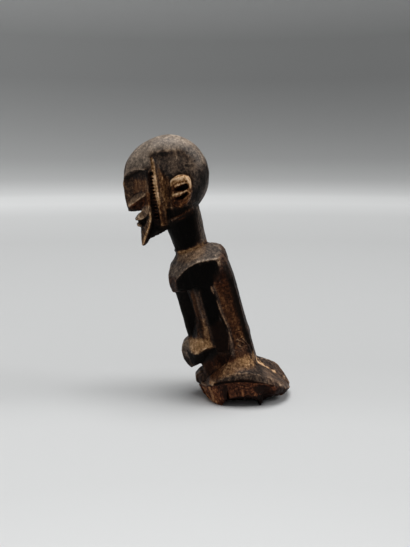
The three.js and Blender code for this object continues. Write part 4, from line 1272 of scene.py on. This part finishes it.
# Pale and greyed wood is what hands polished, so it has the most sheen on its half matt surface
rubbed = add_node(tree, "ShaderNodeMath", {"operation": "MULTIPLY"}, {0: level, 1: ash_read}).outputs[0]
gloss = add_node(tree, "ShaderNodeMapRange", inputs={
    "Value": rubbed, "From Min": 0, "From Max": 0.5, "To Min": 0.03, "To Max": 0.35,
}).outputs[0]
shader = tree.nodes["Principled BSDF"]
tree.links.new(colour, shader.inputs["Base Color"])
tree.links.new(bumps, shader.inputs["Normal"])
tree.links.new(gloss, shader.inputs["Specular IOR Level"])
shader.inputs["Roughness"].default_value = 0.48
carving.data.materials.clear()
carving.data.materials.append(wood_with_painted_light)

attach(carving, "root")
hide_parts("carved_figure")

# Studio
# A round pale table top that sweeps up all round into a low wall, covered in one sheet of paper that
# is graded from light to mid grey, under two broad soft lights. The grade is painted light: it stands
# in for how the light falls off across the table and up the wall.
table_radius = 1150
table_bend = 400
wall_height = 900


def sweep():
    """The table's profile, spun right round, so that every side of the figure has the same backdrop."""
    profile = [(0, 0)] + [(table_radius * i / 4, 0) for i in range(1, 5)]
    for i in range(1, 25):
        turn = math.pi / 2 * i / 24
        profile.append((
            table_radius + table_bend * math.sin(turn),
            table_bend - table_bend * math.cos(turn),
        ))
    profile.append((table_radius + table_bend, wall_height))
    table = bmesh.new()
    row = [table.verts.new((x * MM, 0, z * MM)) for x, z in profile]
    edges = [table.edges.new(pair) for pair in zip(row, row[1:])]
    bmesh.ops.spin(
        table, geom=row + edges, cent=(0, 0, 0), axis=(0, 0, 1), angle=2 * math.pi, steps=96,
        use_merge=True,
    )
    bmesh.ops.remove_doubles(table, verts=table.verts, dist=0.01 * MM)
    bmesh.ops.recalc_face_normals(table, faces=table.faces)
    bmesh.ops.reverse_faces(table, faces=table.faces)
    return as_object(table, "table")


table = sweep()
for polygon in table.data.polygons:
    polygon.use_smooth = True

# Matt paper: no texture to see, only a slow change of grey in rings round a place between the figure
# and the camera, painted light for the fall-off of the light, with each ring's way out in metres and
# its grey level.
rings_middle = 300
rings_reach = 2.5
paper = bpy.data.materials.new("backdrop_paper_with_painted_light_grade")
paper.use_nodes = True
tree = paper.node_tree
where = add_node(tree, "ShaderNodeTexCoord")
moved = add_node(tree, "ShaderNodeMapping", inputs={
    "Vector": where.outputs["Object"], "Location": (-rings_middle * MM, 0, 0),
})
split = add_node(tree, "ShaderNodeSeparateXYZ", inputs={0: moved.outputs[0]})
flat = add_node(tree, "ShaderNodeCombineXYZ", inputs={0: split.outputs["X"], 1: split.outputs["Y"]})
radius = add_node(tree, "ShaderNodeVectorMath", {"operation": "LENGTH"}, {0: flat.outputs[0]})
way = add_node(tree, "ShaderNodeMath", inputs={0: radius.outputs["Value"], 1: split.outputs["Z"]})
way = add_node(tree, "ShaderNodeMapRange", inputs={
    "Value": way.outputs[0], "From Min": 0, "From Max": rings_reach,
})
painted_light_grades = [
    (0.16, 222), (0.205, 216), (0.265, 214), (0.305, 207), (0.355, 203), (0.42, 203), (0.51, 202),
    (0.82, 195), (1.07, 201), (1.25, 215), (1.38, 212), (1.49, 196), (1.58, 174), (1.7, 159),
    (1.88, 153), (2.02, 149), (2.14, 162), (2.23, 193), (2.4, 205),
]
grade = add_node(tree, "ShaderNodeValToRGB", inputs={"Fac": way.outputs[0]}, stops=[
    (out / rings_reach, f"#{level - 1:02x}{level:02x}{level:02x}") for out, level in painted_light_grades
])
shader = tree.nodes["Principled BSDF"]
tree.links.new(grade.outputs["Color"], shader.inputs["Base Color"])
shader.inputs["Roughness"].default_value = 0.9
shader.inputs["Specular IOR Level"].default_value = 0.1
table.data.materials.append(paper)

# Lights: name, apparent width in degrees, strength and turn in degrees
for name, width, energy, turn in (
    ("overhead_soft_light", 38, 2.1, (0, -1, 0)),
    ("side_soft_light", 28, 0.85, (-50, 0, -6)),
):
    lamp = bpy.data.lights.new(name, "SUN")
    lamp.angle = math.radians(width)
    lamp.energy = energy
    light = bpy.data.objects.new(name, lamp)
    light.rotation_euler = [math.radians(angle) for angle in turn]
    bpy.context.scene.collection.objects.link(light)

room_glow = 0.2
world = bpy.data.worlds.new("room")
world.use_nodes = True
world.node_tree.nodes["Background"].inputs["Color"].default_value = (1, 1, 1, 1)
world.node_tree.nodes["Background"].inputs["Strength"].default_value = room_glow
bpy.context.scene.world = world
bpy.context.scene.view_settings.view_transform = "Standard"
